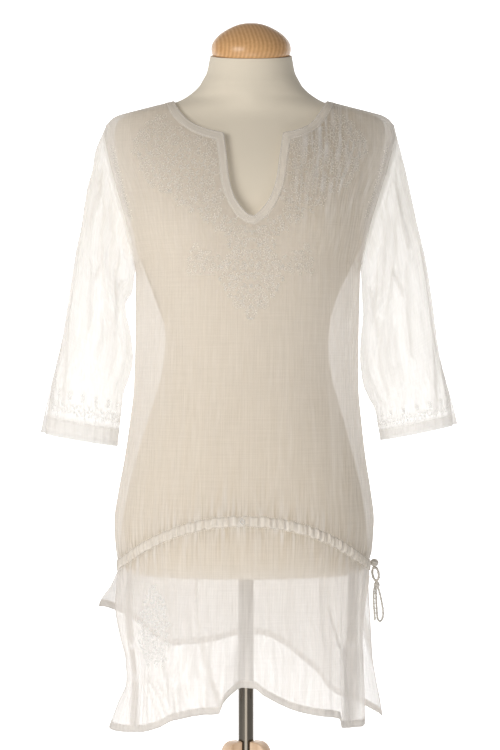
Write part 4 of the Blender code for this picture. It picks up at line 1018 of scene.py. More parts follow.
@dataclass
class TunicSurface:
    """The outer face of the cloth, as a function of an angle round the body and a height."""

    channel_height: float = 0.014
    channel_side_z: float = 0.755
    channel_front_z: float = 0.8265
    channel_back_z: float = 0.8
    seam_gap: float = 0.0004
    gather_waves: int = 12
    gather_depth: float = 0.0028
    gather_rise: float = 0.01
    gather_fade: float = 0.034
    fold_rise: float = 0.012
    seam_calm: float = 0.13
    slit_spread: float = 0.01
    slit_length: float = 0.22
    edge_sharpness: float = 8.0
    crinkle_depth: float = 0.00042
    notch_shift: float = 0.005

    def channel_top(self, angle: Array, back: bool) -> Array:
        """Height of the drawstring channel's top edge."""
        middle = self.channel_back_z if back else self.channel_front_z
        return middle + (self.channel_side_z - middle) * np.sin(angle) ** 2

    def off_channel(self, angle: Array, z: Array, back: bool) -> Array:
        """Distance from the channel's nearer edge; less than 0 inside it."""
        middle = self.channel_top(angle, back) - self.channel_height / 2
        return np.abs(z - middle) - self.channel_height / 2

    def off_seam(self, angle: Array) -> Array:
        """0 at a side seam, 1 from a little way off it."""
        return held((QUARTER - np.abs(angle)) / self.seam_calm)

    def gathers(self, angle: Array, z: Array, back: bool) -> Array:
        """Waves and small pleats that run out above and below the drawstring channel."""
        away = self.off_channel(angle, z, back)
        grow = held(away / self.gather_rise)
        fade = np.exp(-np.clip(away - self.gather_rise, 0.0, None) / self.gather_fade)
        wave = np.sin(2 * self.gather_waves * (angle + QUARTER))
        uneven = 0.65 + 0.35 * np.sin(5.3 * angle + 1.1)
        fuller = 0.55 + 0.45 * np.sin(angle) ** 2
        broad = self.gather_depth * wave * uneven * fuller * grow * fade
        near = np.exp(-np.clip(away, 0.0, None) / 0.03) * held(away / 0.004)
        bend = 1.4 * np.sin(7.0 * angle + 0.6) + 0.9 * np.sin(13.0 * angle + 40.0 * z)
        small = (0.00075 * np.sin(78.0 * angle + bend) + 0.0005 * np.sin(127.0 * angle - bend))
        return (broad + small * near * (0.6 + 0.4 * fuller)) * self.off_seam(angle)

    def folds(self, angle: Array, z: Array, back: bool) -> Array:
        """The panels' creases; those in the skirt run on to the hem."""
        x = section_point(CLOTH_SECTIONS, angle, z, back)[..., 0]
        total = 0.0 * x
        for fold in BACK_FOLDS + BACK_FINE_FOLDS if back else FRONT_FOLDS + FRONT_FINE_FOLDS:
            t, line = crease(fold.upper_z, fold.lower_z, fold.upper_x, fold.lower_x, z)
            if fold.upper_z > self.channel_side_z:
                along = np.sin(math.pi * held(t)) ** 0.7
            else:
                along = held(t * 2.5)
            total = total + fold.depth * along * np.exp(-((x - line) / fold.width) ** 2)
        grow = held(self.off_channel(angle, z, back) / self.fold_rise)
        return total * grow * self.off_seam(angle)

    def crinkle(self, angle: Array, z: Array, back: bool) -> Array:
        """Fine upright ripples, strongest on the wearer's left shoulder and in the skirt."""
        bend = 2.2 * np.sin(17.0 * z + 3.0 * angle) + 1.3 * np.sin(41.0 * z - 5.0 * angle)
        ripple = np.sin(84.0 * angle + bend) + 0.6 * np.sin(57.0 * angle - 1.7 * bend + 1.0)
        shoulder = np.exp(-((angle - 0.62) / 0.3) ** 2) * smoothstep(1.22, 1.3, z)
        skirt = 1.0 - smoothstep(0.64, 0.76, z)
        strength = 0.35 + 0.9 * shoulder * (0.4 if back else 1.0) + 0.8 * skirt
        calm = 1.0 - smoothstep(1.372, 1.392, z)
        return self.crinkle_depth * ripple * strength * calm * self.off_seam(angle)

    def relief(self, angle: Array, z: Array, back: bool) -> Array:
        """Everything that moves the cloth off its section."""
        return (self.gathers(angle, z, back) + self.folds(angle, z, back)
                + self.crinkle(angle, z, back))

    def notch_drift(self, x: Array, z: Array) -> Array:
        """How far the notch and the cloth round it sit off the middle."""
        near = 1.0 - smoothstep(0.045, 0.15, np.abs(x))
        level = smoothstep(1.03, 1.08, z) * (1.0 - smoothstep(1.352, 1.385, z))
        return self.notch_shift * near * level

    def density(self, angle: Array, z: Array, back: bool) -> Array:
        """How much more cloth lies in each millimetre where it is gathered or creased, or laid
        double in the strips; the voile thickens there and darkens it with painted shade.
        """
        step, mean_radius, most = 0.004, 0.155, 0.6
        left, right = (self.relief(angle + turn, z, back) for turn in (-step, step))
        crowded = np.clip(np.abs(right - left) / (2 * step * mean_radius) * most, 0.0, most)
        x = section_point(CLOTH_SECTIONS, angle, z, back)[..., 0]
        for strip in BACK_STRIPS if back else FRONT_STRIPS:
            t, line = crease(strip.upper_z, strip.lower_z, strip.upper_x, strip.lower_x, z)
            along = smoothstep(-0.06, 0.1, t) * (1.0 - smoothstep(0.9, 1.06, t))
            across = np.exp(-((x - line) / strip.width) ** 4)
            crowded = np.maximum(crowded, strip.depth * along * across)
        return crowded

    def crumple(self, angle: Array, z: Array, back: bool) -> Array:
        """How creased the cloth is: most on the wearer's left shoulder and by the channel; where it
        is high the voile also paints crease shading in streaks.
        """
        x = section_point(CLOTH_SECTIONS, angle, z, back)[..., 0]
        reach = np.exp(-((x - 0.11) / 0.042) ** 2 - ((z - 1.325) / 0.085) ** 2)
        side = (np.exp(-((x - 0.16) / 0.03) ** 2) * smoothstep(0.78, 0.9, z)
                * (1 - smoothstep(1.2, 1.3, z)))
        channel = np.exp(-np.clip(self.off_channel(angle, z, back), 0.0, None) / 0.018)
        skirt = 1.0 - smoothstep(0.7, 0.75, z)
        return held((0.35 if back else 1.0) * reach + 0.3 * side + 0.55 * channel + 0.1 * skirt
                       + 0.05)

    def normal(self, angle: Array, z: Array, back: bool) -> Array:
        """Outward unit normals of the section."""
        turn, rise = 2e-3, 4e-4
        across, up = (section_point(CLOTH_SECTIONS, angle + a, z + b, back)
                      - section_point(CLOTH_SECTIONS, angle - a, z - b, back)
                      for a, b in ((turn, 0.0), (0.0, rise)))
        return unit(np.cross(across, up) * (-1 if back else 1))

    def at(self, angle: Array, z: Array, back: bool, lift: float = 0.0) -> Array:
        """A point of the cloth before it leans.

        Args:
            angle: 0 in the middle, a quarter turn at the side; less than 0 for x < 0.
            z: Height.
            back: Whether it is on the back panel.
            lift: Distance off the cloth.

        Returns:
            Points round the pole.
        """
        angle, z = np.broadcast_arrays(np.asarray(angle, float), np.asarray(z, float))
        relief = self.relief(angle, z, back) + lift
        point = (section_point(CLOTH_SECTIONS, angle, z, back)
                 + self.normal(angle, z, back) * relief[..., None])
        half = "back" if back else "front"
        drift = np.where(angle < 0, *(smooth_read(EDGE_DRIFT, f"{half}_{side}", z)
                                      for side in ("left", "right")))
        near_edge = np.abs(np.sin(angle)) ** self.edge_sharpness
        low = self.channel_side_z - self.channel_height
        below = held((low - z) / self.slit_length)
        point[..., 0] += np.sign(angle) * drift * near_edge
        spread = self.seam_gap / 2 + self.slit_spread / 2 * below * near_edge
        point[..., 1] += (1 if back else -1) * spread
        return point

    def laid(self, angle: Array, z: Array, back: bool, lift: float = 0.0) -> tuple[Array, Array]:
        """Cloth points, leaned, and normals."""
        return lean(self.at(angle, z, back, lift)), self.normal(angle, z, back)

    def front_view(self, x: Array, z: Array, lift: float = 0.0) -> tuple[Array, Array]:
        """Cloth points and normals at places in the front view, leaned."""
        x, z = np.asarray(x, float), np.asarray(z, float)
        return self.laid(angle_at(x + self.notch_drift(x, z), z), z, False, lift)


# ---- garment

@dataclass
class Pattern:
    """Where the panels' edges run."""

    surface: TunicSurface
    shoulder_tip_z: float = 1.372
    underarm_z: float = 1.168
    neck_point_z: float = 1.405
    neck_point_x: float = 0.1085
    back_neck_z: float = 1.388
    arm_rows: int = 12
    yoke_spread: float = 0.9
    hem_height: float = 0.01
    skirt_middle_z: float = 0.6
    skirt_flare: float = 0.01

    def arm_z(self, row: Array) -> Array:
        """Height of an armhole row."""
        middle = (self.shoulder_tip_z + self.underarm_z) / 2
        half = (self.shoulder_tip_z - self.underarm_z) / 2
        return middle + half * np.cos(np.pi * np.asarray(row, float) / self.arm_rows)

    def arm_angle(self, z: Array) -> Array:
        """Angle on the section of the armhole at a height; both ends are on the seams."""
        angle = angle_at(smooth_read(ARMHOLE, "x", z), z)
        at_end = np.minimum(self.shoulder_tip_z - z, z - self.underarm_z)
        return angle + (QUARTER - angle) * (1.0 - smoothstep(0.0, 0.0034, at_end))

    def back_neckline(self, x: Array) -> Array:
        """Height of the back neckline's edge at a place across it."""
        rise = self.neck_point_z - self.back_neck_z
        return self.back_neck_z + rise * (x / self.neck_point_x) ** 2

    def ridge_z(self, x: Array) -> Array:
        """Height of the shoulder seam at a place across it."""
        rows = [HemPoint(section.half_width, section.z) for section in CLOTH_SECTIONS
                if section.z > self.shoulder_tip_z - self.hem_height]
        return smooth_read(rows, "z", x)

    def yoke_row(self, row: int, share: Array, back: bool) -> Array:
        """Angles and heights across one half of the yoke.

        Args:
            row: Row number, from the shoulder to the underarm.
            share: 0 at the neckline or the middle of the back, 1 at the armhole.
            back: Whether it is the back.

        Returns:
            Two rows of numbers: the angles and the heights.
        """
        spread = np.sin(share * QUARTER) ** self.yoke_spread
        outer_z = float(self.arm_z(row))
        outer_x = float(smooth_read(ARMHOLE, "x", outer_z))
        if back:
            top_x = float(smooth_read(ARMHOLE, "x", self.shoulder_tip_z)) * spread
            on_ridge = top_x >= self.neck_point_x
            top_z = np.where(on_ridge, self.ridge_z(top_x), self.back_neckline(top_x))
            drop = (outer_z - self.underarm_z) / (self.shoulder_tip_z - self.underarm_z)
            z = self.underarm_z + (top_z - self.underarm_z) * drop
            angle = angle_at(outer_x * spread, z)
            if row == 0:
                angle = np.where(on_ridge, QUARTER, angle)
        else:
            edge = YOKE_ROWS[row]
            z = edge.edge_z + (outer_z - edge.edge_z) * spread
            angle = angle_at(edge.edge_x + (outer_x - edge.edge_x) * spread, z)
            if row == 0:
                angle = np.full(len(share), QUARTER)
        if row in (0, self.arm_rows):
            angle[-1] = QUARTER
        return np.array([angle, z])

    def hem_z(self, angle: Array, back: bool) -> Array:
        """Height of the hem below a place on the channel."""
        level = np.full(np.shape(angle), self.skirt_middle_z)
        x = section_point(CLOTH_SECTIONS, angle, level, back)[..., 0]
        x = x + np.sign(x) * self.skirt_flare * np.abs(np.sin(angle)) ** 8.0
        return smooth_read(BACK_HEM if back else FRONT_HEM, "z", x)


@dataclass
class Panel:
    """The tunic's front or back, cut in one."""

    pattern: Pattern
    face: Face
    half_columns: int = 128
    yoke_fineness: int = 4
    body_rows: int = 40
    skirt_rows: int = 46
    wall: float = 0.0004
    turning: float = 0.008
    seam_allowance: float = 0.0055
    edge_blur: float = 0.001
    yoke_width: float = 0.12

    @property
    def back(self) -> bool:
        """Whether this is the back."""
        return self.face is Face.BACK

    def turned_under(self, from_edge: Array, width: float) -> Array:
        """1 near an edge where the cloth is turned under, 0 past that width."""
        return 1.0 - smoothstep(width - self.edge_blur, width + self.edge_blur, from_edge)

    def layout(self, side: Side) -> tuple[Array, Array, Array]:
        """Angles, heights and doubling of one half.

        Args:
            side: Which half.

        Returns:
            Three arrays of rows by columns.
        """
        pattern, surface = self.pattern, self.pattern.surface
        share = np.linspace(0.0, 1.0, self.half_columns + 1)
        if self.back:
            share = share + 0.035 * np.sin(2 * np.pi * share) * (share < 0.5)
        stack = np.array([pattern.yoke_row(row, share, self.back)
                          for row in range(pattern.arm_rows + 1)])
        fine = np.linspace(0.0, pattern.arm_rows, pattern.arm_rows * self.yoke_fineness + 1)
        corners = () if self.back else (NOTCH_CORNER_ROW,)
        yoke = along_rows(stack, fine, corners)
        level = share * QUARTER
        top = surface.channel_top(level, self.back)
        steps = np.linspace(0.0, 1.0, self.body_rows + 1)[1:, None]
        settle = smoothstep(0.0, 0.15, steps)
        body_angle = yoke[-1, 0] + (level - yoke[-1, 0]) * settle
        body_z = yoke[-1, 1] + (top - yoke[-1, 1]) * steps
        signed = side.value * level
        low = top - surface.channel_height
        hem = pattern.hem_z(signed, self.back)
        fold_line = hem + pattern.hem_height
        down = np.linspace(0.0, 1.0, self.skirt_rows + 1)[:, None]
        skirt_z = low + (fold_line + 0.0008 - low) * down
        edge_z = np.stack([fold_line - 0.0004, (fold_line + hem) / 2, hem])
        angle = np.concatenate([yoke[:, 0], body_angle, np.tile(level, (len(skirt_z) + 3, 1))])
        z = np.concatenate([yoke[:, 1], body_z, skirt_z, edge_z])
        depth = smooth_read(CLOTH_SECTIONS, self.face.value, z)
        power = 2.0 / smooth_read(CLOTH_SECTIONS, "exponent", z)
        off_edge = depth * held(np.cos(angle)) ** power
        in_skirt = z < low - self.edge_blur
        doubled = np.where(in_skirt, self.turned_under(off_edge, self.turning),
                           0.5 * self.turned_under(off_edge, self.seam_allowance))
        doubled[-len(edge_z):] = 1.0
        to_arm = (1.0 - np.sin(share * QUARTER) ** pattern.yoke_spread) * self.yoke_width
        arm = 0.45 * self.turned_under(to_arm, self.seam_allowance)
        doubled[:len(yoke)] = np.maximum(doubled[:len(yoke)], arm)
        angle = side.value * angle
        if not self.back:
            x = section_point(CLOTH_SECTIONS, angle, z, False)[..., 0]
            moved = angle_at(x + surface.notch_drift(x, z), z)
            angle = np.where(np.abs(angle) > 1.2, angle, moved)
        return angle, z, np.minimum(doubled + surface.density(angle, z, self.back), 1.0)

    def grain(self, points: Array, z: Array) -> Array:
        """Flat coordinates whose threads run straight down the cloth."""
        x = points[..., 0] - LEAN * (z - LEAN_PIVOT_Z)
        depth = smooth_read(CLOTH_SECTIONS, self.face.value, z)
        round_side = 0.7 * np.clip(depth - np.abs(points[..., 1]), 0.0, None)
        low = 1.0 - smoothstep(1.25, 1.34, z)
        return np.stack([x + np.sign(x) * round_side * low, z], axis=-1)

    def build(self, shop: Workshop) -> Piece:
        """Make the panel of two halves joined down the middle."""
        surface = self.pattern.surface
        bm = bmesh.new()
        for side in Side:
            angle, z, doubled = self.layout(side)
            points, normals = surface.laid(angle, z, self.back)
            shop.grid(bm, points, self.grain(points, z), doubled, outside=normals,
                      crumple=surface.crumple(angle, z, self.back))
        return shop.piece(f"{self.face.value}_cloth", bm, VOILE, 3e-5, self.wall)


@dataclass
class Sleeve:
    """A three-quarter set-in sleeve with a short slit on its outer side."""

    pattern: Pattern
    side: Side
    around: int = 132
    along: int = 120
    wall: float = 0.0004
    slit_ring: float = 8.0
    slit_front: float = math.radians(34.0)
    slit_back: float = math.radians(3.0)
    cuff_ring: float = 10.0
    cuff_rings: float = 0.33
    head_seam: float = 0.25
    ring_height: float = 0.045
    girth_radius: float = 0.055

    @property
    def rings(self) -> Sequence[SleeveRing]:
        """This side's ring table."""
        return LEFT_SLEEVE_RINGS if self.side is Side.LEFT else RIGHT_SLEEVE_RINGS

    def armhole(self, turn: Array) -> Array:
        """Points of the armhole's edge: shoulder, front, underarm, back."""
        surface, pattern = self.pattern.surface, self.pattern
        row = np.where(turn <= math.pi, turn, TURN - turn) * pattern.arm_rows / math.pi
        z = pattern.arm_z(row)
        angle = self.side.value * pattern.arm_angle(z)
        front, back = surface.at(angle, z, False), surface.at(angle, z, True)
        ring = np.where((turn <= math.pi)[:, None], front, back)
        ring[:, 0] += self.side.value * surface.seam_gap
        return ring

    def relief(self, number: Array, turn: Array) -> Array:
        """Creases: how far they move a point out."""
        degrees = np.degrees(turn) % 360.0
        total = 0.0 * degrees * number
        for fold in SLEEVE_FOLDS + SLEEVE_FINE_FOLDS:
            t, line = crease(fold.from_ring, fold.to_ring, fold.from_angle, fold.to_angle, number)
            along = np.sin(math.pi * held(t)) ** 0.6
            total = total + fold.depth * along * np.exp(-((degrees - line) / fold.width) ** 2)
        bend = 2.0 * np.sin(1.9 * number + 2.0 * turn) + 1.1 * np.sin(3.7 * number)
        ripple = np.sin(27.0 * turn + bend) + 0.6 * np.sin(41.0 * turn - bend)
        return total + 0.00035 * ripple * smoothstep(0.0, 1.0, number)

    def surface_at(self, number: Array, turn: Array, lift: float = 0.0) -> Array:
        """Points of the sleeve, leaned.

        Args:
            number: Rows of ring numbers, 0 at the armhole and 10 at the cuff.
            turn: Turns round the sleeve from its outer edge, one for each column.
            lift: Distance off the cloth.

        Returns:
            Rows by columns of points.
        """
        stack = [self.armhole(turn)]
        for ring in self.rings:
            mid_x, mid_z = (ring.outer_x + ring.inner_x) / 2, (ring.outer_z + ring.inner_z) / 2
            x = mid_x + (ring.outer_x - ring.inner_x) / 2 * np.cos(turn)
            z = mid_z + (ring.outer_z - ring.inner_z) / 2 * np.cos(turn)
            stack.append(np.stack([self.side.value * x, -ring.depth * np.sin(turn), z], axis=-1))
        points = along_rows(np.array(stack), number)
        middle = points.mean(axis=1, keepdims=True)
        away = self.relief(number[:, None], turn[None, :]) + lift
        return lean(points + unit(points - middle) * away[..., None])

    def slit_open(self, number: Array) -> Array:
        """How far the slit has opened at a ring, from 0 to 1."""
        return held((number - self.slit_ring) / (self.cuff_ring - self.slit_ring))

    def shape(self) -> tuple[Array, Array, Array]:
        """Ring numbers down the sleeve, turns round it, and its points with the slit opened."""
        cuff = self.cuff_ring - self.cuff_rings
        number = np.concatenate([np.linspace(0.0, cuff - 0.02, self.along),
                                 [cuff + 0.01, cuff + 0.17, self.cuff_ring]])
        turn = np.linspace(0.0, TURN, self.around + 1)
        points = self.surface_at(number, turn)
        opening = self.slit_open(number)
        closed = 1.0 - (self.slit_front + self.slit_back) / (TURN) * opening
        for row, start in enumerate(opening):
            if start > 0.0:
                points[row] = self.surface_at(number[row:row + 1],
                                              self.slit_front * start + turn * closed[row])[0]
        points[opening == 0.0, -1] = points[opening == 0.0, 0]
        return number, turn, points

    def cloth_at(self, run: Array, up: Array) -> tuple[Array, Array]:
        """Points and normals of the cloth.

        Args:
            run: Distances round the sleeve from the slit.
            up: Distances up from the hem.

        Returns:
            Points and outward unit normals.
        """
        number, turn, points = self.shape()
        row = np.interp(self.cuff_ring - up / self.ring_height, number, np.arange(len(number)))
        column = held(run / self.girth_radius / turn[-1]) * self.around
        i = np.clip(row.astype(int), 0, len(number) - 2)
        j = np.clip(column.astype(int), 0, self.around - 1)
        s, t = (row - i)[:, None], (column - j)[:, None]
        spot = ((points[i, j] * (1 - s) + points[i + 1, j] * s) * (1 - t)
                + (points[i, j + 1] * (1 - s) + points[i + 1, j + 1] * s) * t)
        normal = unit(np.cross(points[i, j + 1] - points[i, j], points[i + 1, j] - points[i, j]))
        middle = points.mean(axis=1)[i]
        return spot, normal * np.sign(((spot - middle) * normal).sum(axis=1))[:, None]

    def build(self, shop: Workshop) -> Piece:
        """Make the sleeve as a grid closed above its slit."""
        number, turn, points = self.shape()
        down = running_length(points[:, self.around // 4])
        cut = pairs((turn * self.girth_radius)[None, :], down[:, None])
        doubled = np.zeros(points.shape[:2])
        doubled[-3:] = 0.48
        by_slit = np.minimum(turn, TURN - turn)[None, :] * self.girth_radius
        beside = (number > self.slit_ring - 0.15)[:, None]
        bound = (1.0 - smoothstep(0.005, 0.0075, by_slit)) * beside
        doubled = np.maximum(doubled, 0.6 * bound)
        doubled[number < self.head_seam] = 0.4
        # crowded cloth at the creases and in the strips thickens the voile and is darkened as
        # painted fold shade
        step = 0.02
        left, right = (self.relief(number[:, None], turn[None, :] + shift)
                       for shift in (-step, step))
        crowded = np.clip(np.abs(right - left) / (2 * step * self.girth_radius) * 0.35, 0.0, 0.3)
        degrees = np.degrees(turn)[None, :]
        for strip in SLEEVE_STRIPS:
            t, line = crease(strip.from_ring, strip.to_ring, strip.from_angle, strip.to_angle,
                             number[:, None])
            line = line + 3.0 * np.sin(5.0 * t)
            along = smoothstep(0.0, 0.25, t) * (1.0 - smoothstep(0.75, 1.0, t))
            crowded = np.maximum(crowded, strip.depth * along
                                 * np.exp(-np.abs((degrees - line) / strip.width) ** 2.4))
        doubled = np.minimum(doubled + crowded, 1.0)
        bm = bmesh.new()
        shop.grid(bm, points, cut, doubled, outside=points - points.mean(axis=1, keepdims=True),
                  crumple=0.1 + 0.12 * crowded)
        name = f"sleeve_cloth_{self.side.name.lower()}"
        return shop.piece(name, bm, VOILE_SLEEVE, 3e-5, self.wall)


@dataclass
class NeckBand:
    """The facing turned out round the neckline and down the notch."""

    pattern: Pattern
    across: int = 6
    thickness: float = 0.0004
    lie_gap: float = 0.0002
    back_steps: int = 40
    back_drop: float = 0.012

    def loop(self) -> list[tuple[float, float, float, float, int, bool, bool]]:
        """Places along the band: edge, outer edge, side, back or front, on the ridge or not."""
        pattern = self.pattern
        rows = np.array([list(row) for row in YOKE_ROWS])
        at = np.arange(0.34, len(rows) - 1 + 1e-6, 0.25)
        front = along_rows(rows, at, (NOTCH_CORNER_ROW,)).tolist()
        ridge = rows[0].tolist()
        back = []
        low = pattern.back_neck_z - self.back_drop
        for k in range(1, self.back_steps + 1):
            t = 1 - (k / self.back_steps) ** 1.7
            edge_x, band_x = pattern.neck_point_x * t, ridge[2] * t
            band_z = low + (ridge[3] - low) * (band_x / ridge[2]) ** 2
            back.append([edge_x, float(pattern.back_neckline(edge_x)), band_x, band_z])
        places = [(*row, 1, False, False) for row in reversed(front)]
        places.append((*ridge, 1, False, True))
        places += [(*row, 1, True, False) for row in back]
        places += [(*row, -1, True, False) for row in reversed(back[:-1])]
        places.append((*ridge, -1, False, True))
        places += [(*row, -1, False, False) for row in front[:-1]]
        return places

    def rows(self, lift: Array) -> tuple[Array, Array]:
        """Points and normals along and across the band, at heights across it."""
        surface = self.pattern.surface
        points, normals = [], []
        share = np.linspace(0.0, 1.0, len(lift))
        for edge_x, edge_z, band_x, band_z, side, back, on_ridge in self.loop():
            x = side * (edge_x + (band_x - edge_x) * share)
            z = edge_z + (band_z - edge_z) * share
            if not back:
                x = x + surface.notch_drift(x, z)
            angle = side * np.full(len(x), QUARTER) if on_ridge else angle_at(x, z)
            point, normal = surface.laid(angle, z, back)
            points.append(point + normal * lift[:, None])
            normals.append(normal)
        return np.array(points), np.array(normals)

    def build(self, shop: Workshop) -> Piece:
        """Make the band, softly rounded across."""
        share = np.linspace(0.0, 1.0, self.across + 1)
        crown = self.lie_gap + self.thickness * (0.75 + 0.5 * np.sin(math.pi * share) ** 0.5)
        points, normals = self.rows(crown)
        points = np.concatenate([points, points[:1]])
        normals = np.concatenate([normals, normals[:1]])
        cut = pairs(share[None, :] * self.back_drop, running_length(points[:, 0])[:, None])
        bm = bmesh.new()
        edge = (share < 0.17) | (share > 0.83)
        shop.grid(bm, points, cut, np.broadcast_to(0.4 * edge, points.shape[:2]), outside=normals,
                  crumple=np.full(points.shape[:2], 0.12))
        return shop.piece("neck_band_cloth", bm, VOILE_TRIM, 1e-6, self.thickness)


@dataclass
class Channel:
    """The gathered drawstring channel across the front or the back."""

    surface: TunicSurface
    face: Face
    columns: int = 620
    across: int = 7
    end: float = math.radians(88.0)
    crown: float = 0.0026
    pucker: float = 0.0022
    wall: float = 0.0004
    lie_gap: float = 0.0003

    def build(self, shop: Workshop) -> Piece:
        """Make the channel: a soft roll with uneven puckers across it."""
        back = self.face is Face.BACK
        angle = np.linspace(-self.end, self.end, self.columns + 1)[:, None]
        share = np.linspace(0.0, 1.0, self.across + 1)[None, :]
        wander = 0.0005 * np.sin(61 * angle) + 0.0004 * np.sin(97 * angle + 1.0)
        z = self.surface.channel_top(angle, back) + wander - self.surface.channel_height * share
        angle = np.broadcast_to(angle, z.shape)
        bend = 1.7 * np.sin(11 * angle + 0.4) + 1.1 * np.sin(23 * angle)
        ridges = (np.sin(84 * angle + bend) + 0.7 * np.sin(131 * angle - bend)
                  + 0.5 * np.sin(199 * angle + 2 * bend))
        ridges = ridges * (0.55 + 0.45 * smoothstep(-0.6, 0.9, angle))
        body = np.sin(math.pi * share) ** 0.55 * (1.0 - 0.75 * smoothstep(1.15, 1.5, np.abs(angle)))
        lift = self.lie_gap + 0.0005 + (self.crown - 0.0006) * body
        lift = lift + self.pucker * ridges * (0.35 + 0.65 * body) * 0.6
        points, normals = self.surface.laid(angle, z, back)
        points = points + normals * np.maximum(lift, self.lie_gap)[..., None]
        bm = bmesh.new()
        # painted shade: the pucker hollows are given as doubled cloth, so the voile darkens them
        deep = held(0.5 - 0.5 * ridges) * 0.8
        shop.grid(bm, points, pairs(angle * 0.16, share * 0.016), deep, outside=normals,
                  crumple=np.full(points.shape[:2], 0.35))
        return shop.piece(f"channel_cloth_{self.face.value}", bm, VOILE_TRIM, wall=self.wall)


# ---- needlework

Mapping = Callable[[Array, Array], tuple[Array, Array]]


class Motif(Enum):
    """A small element of the embroidery's repeat."""

    FLOWER = 0
    CURL = 1
    LEAVES = 2
    BUDS = 3


@dataclass
class Needlework:
    """Scrolling white flowers and leaves, charted by a small repeat."""

    surface: TunicSurface
    pitch: float = 0.0098
    thread: float = 0.0006
    height: float = 0.00034
    lift: float = 0.00015
    tip: float = 1e-5
    row_step: float = 0.87
    chart: list = field(default_factory=list)

    @staticmethod
    def strokes(motif: Motif, size: float) -> list[tuple[Array, float]]:
        """A motif's strokes in the flat.

        Args:
            motif: Which motif.
            size: Its radius in metres.

        Returns:
            Pairs of points and a width share: 1 a full leaf, less a fine line.
        """
        made: list[tuple[Array, float]] = []

        def leaf(x: float, z: float, angle: float, length: float, width: float) -> None:
            """Add one leaf or petal that starts at a place."""
            t = np.linspace(0.0, 1.0, 4)
            bow = 0.22 * length * np.sin(math.pi * t)
            px = x + np.cos(angle) * t * length - np.sin(angle) * bow
            pz = z + np.sin(angle) * t * length + np.cos(angle) * bow
            made.append((np.stack([px, pz], axis=-1), width))

        def curl(start: float, turns: float, radius: float, hand: int) -> None:
            """Add a spiral stem."""
            t = np.linspace(0.0, 1.0, 8)
            angle = start + hand * turns * TURN * t
            reach = radius * (1.0 - 0.78 * t)
            made.append((np.stack([reach * np.cos(angle), reach * np.sin(angle)], axis=-1), 0.95))

        if motif is Motif.FLOWER:
            for k in range(5):
                angle = TURN * k / 5 + 0.3
                leaf(0.24 * size * math.cos(angle), 0.24 * size * math.sin(angle), angle,
                     0.7 * size, 1.5)
        elif motif is Motif.CURL:
            curl(0.4, 1.15, 0.95 * size, 1)
            leaf(0.75 * size, 0.35 * size, 1.1, 0.6 * size, 1.2)
            leaf(-0.85 * size, -0.2 * size, 3.9, 0.55 * size, 1.2)
        elif motif is Motif.LEAVES:
            leaf(-0.95 * size, 0.0, 0.1, 1.9 * size, 0.5)
            for k in range(3):
                base = (-0.6 + 0.55 * k) * size
                leaf(base, 0.05 * size, 1.05, 0.62 * size, 1.2)
                leaf(base, 0.0, -0.95, 0.58 * size, 1.2)
        else:
            curl(3.4, 0.9, 0.85 * size, -1)
            for k in range(4):
                angle = 0.5 + 0.62 * k
                leaf(0.5 * size * math.cos(angle), 0.5 * size * math.sin(angle), angle,
                     0.45 * size, 1.3)
        return made

    def lay(self, motif: Motif, size: float, x: float, z: float, turn: float,
            mirror: int = 1) -> None:
        """Chart a motif at a place, turned and perhaps mirrored."""
        cos, sin = math.cos(turn), math.sin(turn)
        for points, width in self.strokes(motif, size):
            px = mirror * (x + points[:, 0] * cos - points[:, 1] * sin)
            pz = z + points[:, 0] * sin + points[:, 1] * cos
            swell = np.sin(math.pi * np.linspace(0.02, 0.98, len(px))) ** 0.7
            half = self.thread * width * (swell if width > 0.9 else swell ** 0.3)
            half[[0, -1]] = self.tip
            self.chart.append((np.stack([px, pz], axis=-1), half, min(1.0, 0.5 + 0.5 * width)))

    def line(self, route: Points, width: float = 0.6) -> None:
        """Chart a line along a route."""
        points = spline_points(route, len(route) * 7)
        half = np.full(len(points), self.thread * width)
        half[[0, -1]] = self.tip
        self.chart.append((points, half, 0.8))

    def fill(self, area: Points, mirrored: bool, pitch: float,
             phase: int = 0) -> None:
        """Chart the repeat over an outline.

        Args:
            area: The outline in the front view.
            mirrored: Whether it is worked on both sides.
            pitch: Distance between motifs.
            phase: Where in the repeat it starts.
        """
        xs, zs = [p[0] for p in area], [p[1] for p in area]
        order = (Motif.CURL, Motif.BUDS, Motif.LEAVES, Motif.CURL, Motif.BUDS, Motif.FLOWER,
                 Motif.CURL)
        for j in range(int((max(zs) - min(zs)) / (pitch * self.row_step)) + 2):
            z = max(zs) - pitch * self.row_step * (j + 0.4)
            for i in range(int((max(xs) - min(xs)) / pitch) + 2):
                x = min(xs) + pitch * (i + (0.5 if j % 2 else 0.0) + 0.25)
                if not inside(area, x, z):
                    continue
                motif = order[(i * 2 + j * 3 + phase + (i * j) // 3) % len(order)]
                turn = 2.4 * math.sin(2.3 * i + 1.7 * j) + (math.pi if (i + j) % 2 else 0.0)
                size = pitch * (0.52 + 0.07 * math.sin(3.1 * i + 5.3 * j))
                x += 0.16 * pitch * math.sin(4.7 * i + 1.3 * j)
                z += 0.16 * pitch * math.sin(2.9 * j + 3.7 * i)
                for mirror in (1, -1) if mirrored else (1,):
                    self.lay(motif, size, x, z, turn, mirror)

    def sew(self, shop: Workshop, name: str, to_cloth: Mapping, finish: Thread) -> Piece:
        """Raise everything charted from the cloth as one piece.

        Args:
            shop: The workshop.
            name: The piece's name.
            to_cloth: Turns two flat coordinates into points and normals of the cloth.
            finish: The thread.

        Returns:
            The embroidery.
        """
        flat = np.concatenate([points for points, _, _ in self.chart])
        centre, normal = to_cloth(flat[:, 0], flat[:, 1])
        book, start = StripBook(), 0
        for points, half, share in self.chart:
            own = slice(start, start + len(points))
            book.add(centre[own] + normal[own] * self.lift, normal[own], half, self.height * share)
            start += len(points)
        LOG.info("%s: %d strokes", name, len(self.chart))
        self.chart = []
        return book.bind(shop, name, finish)

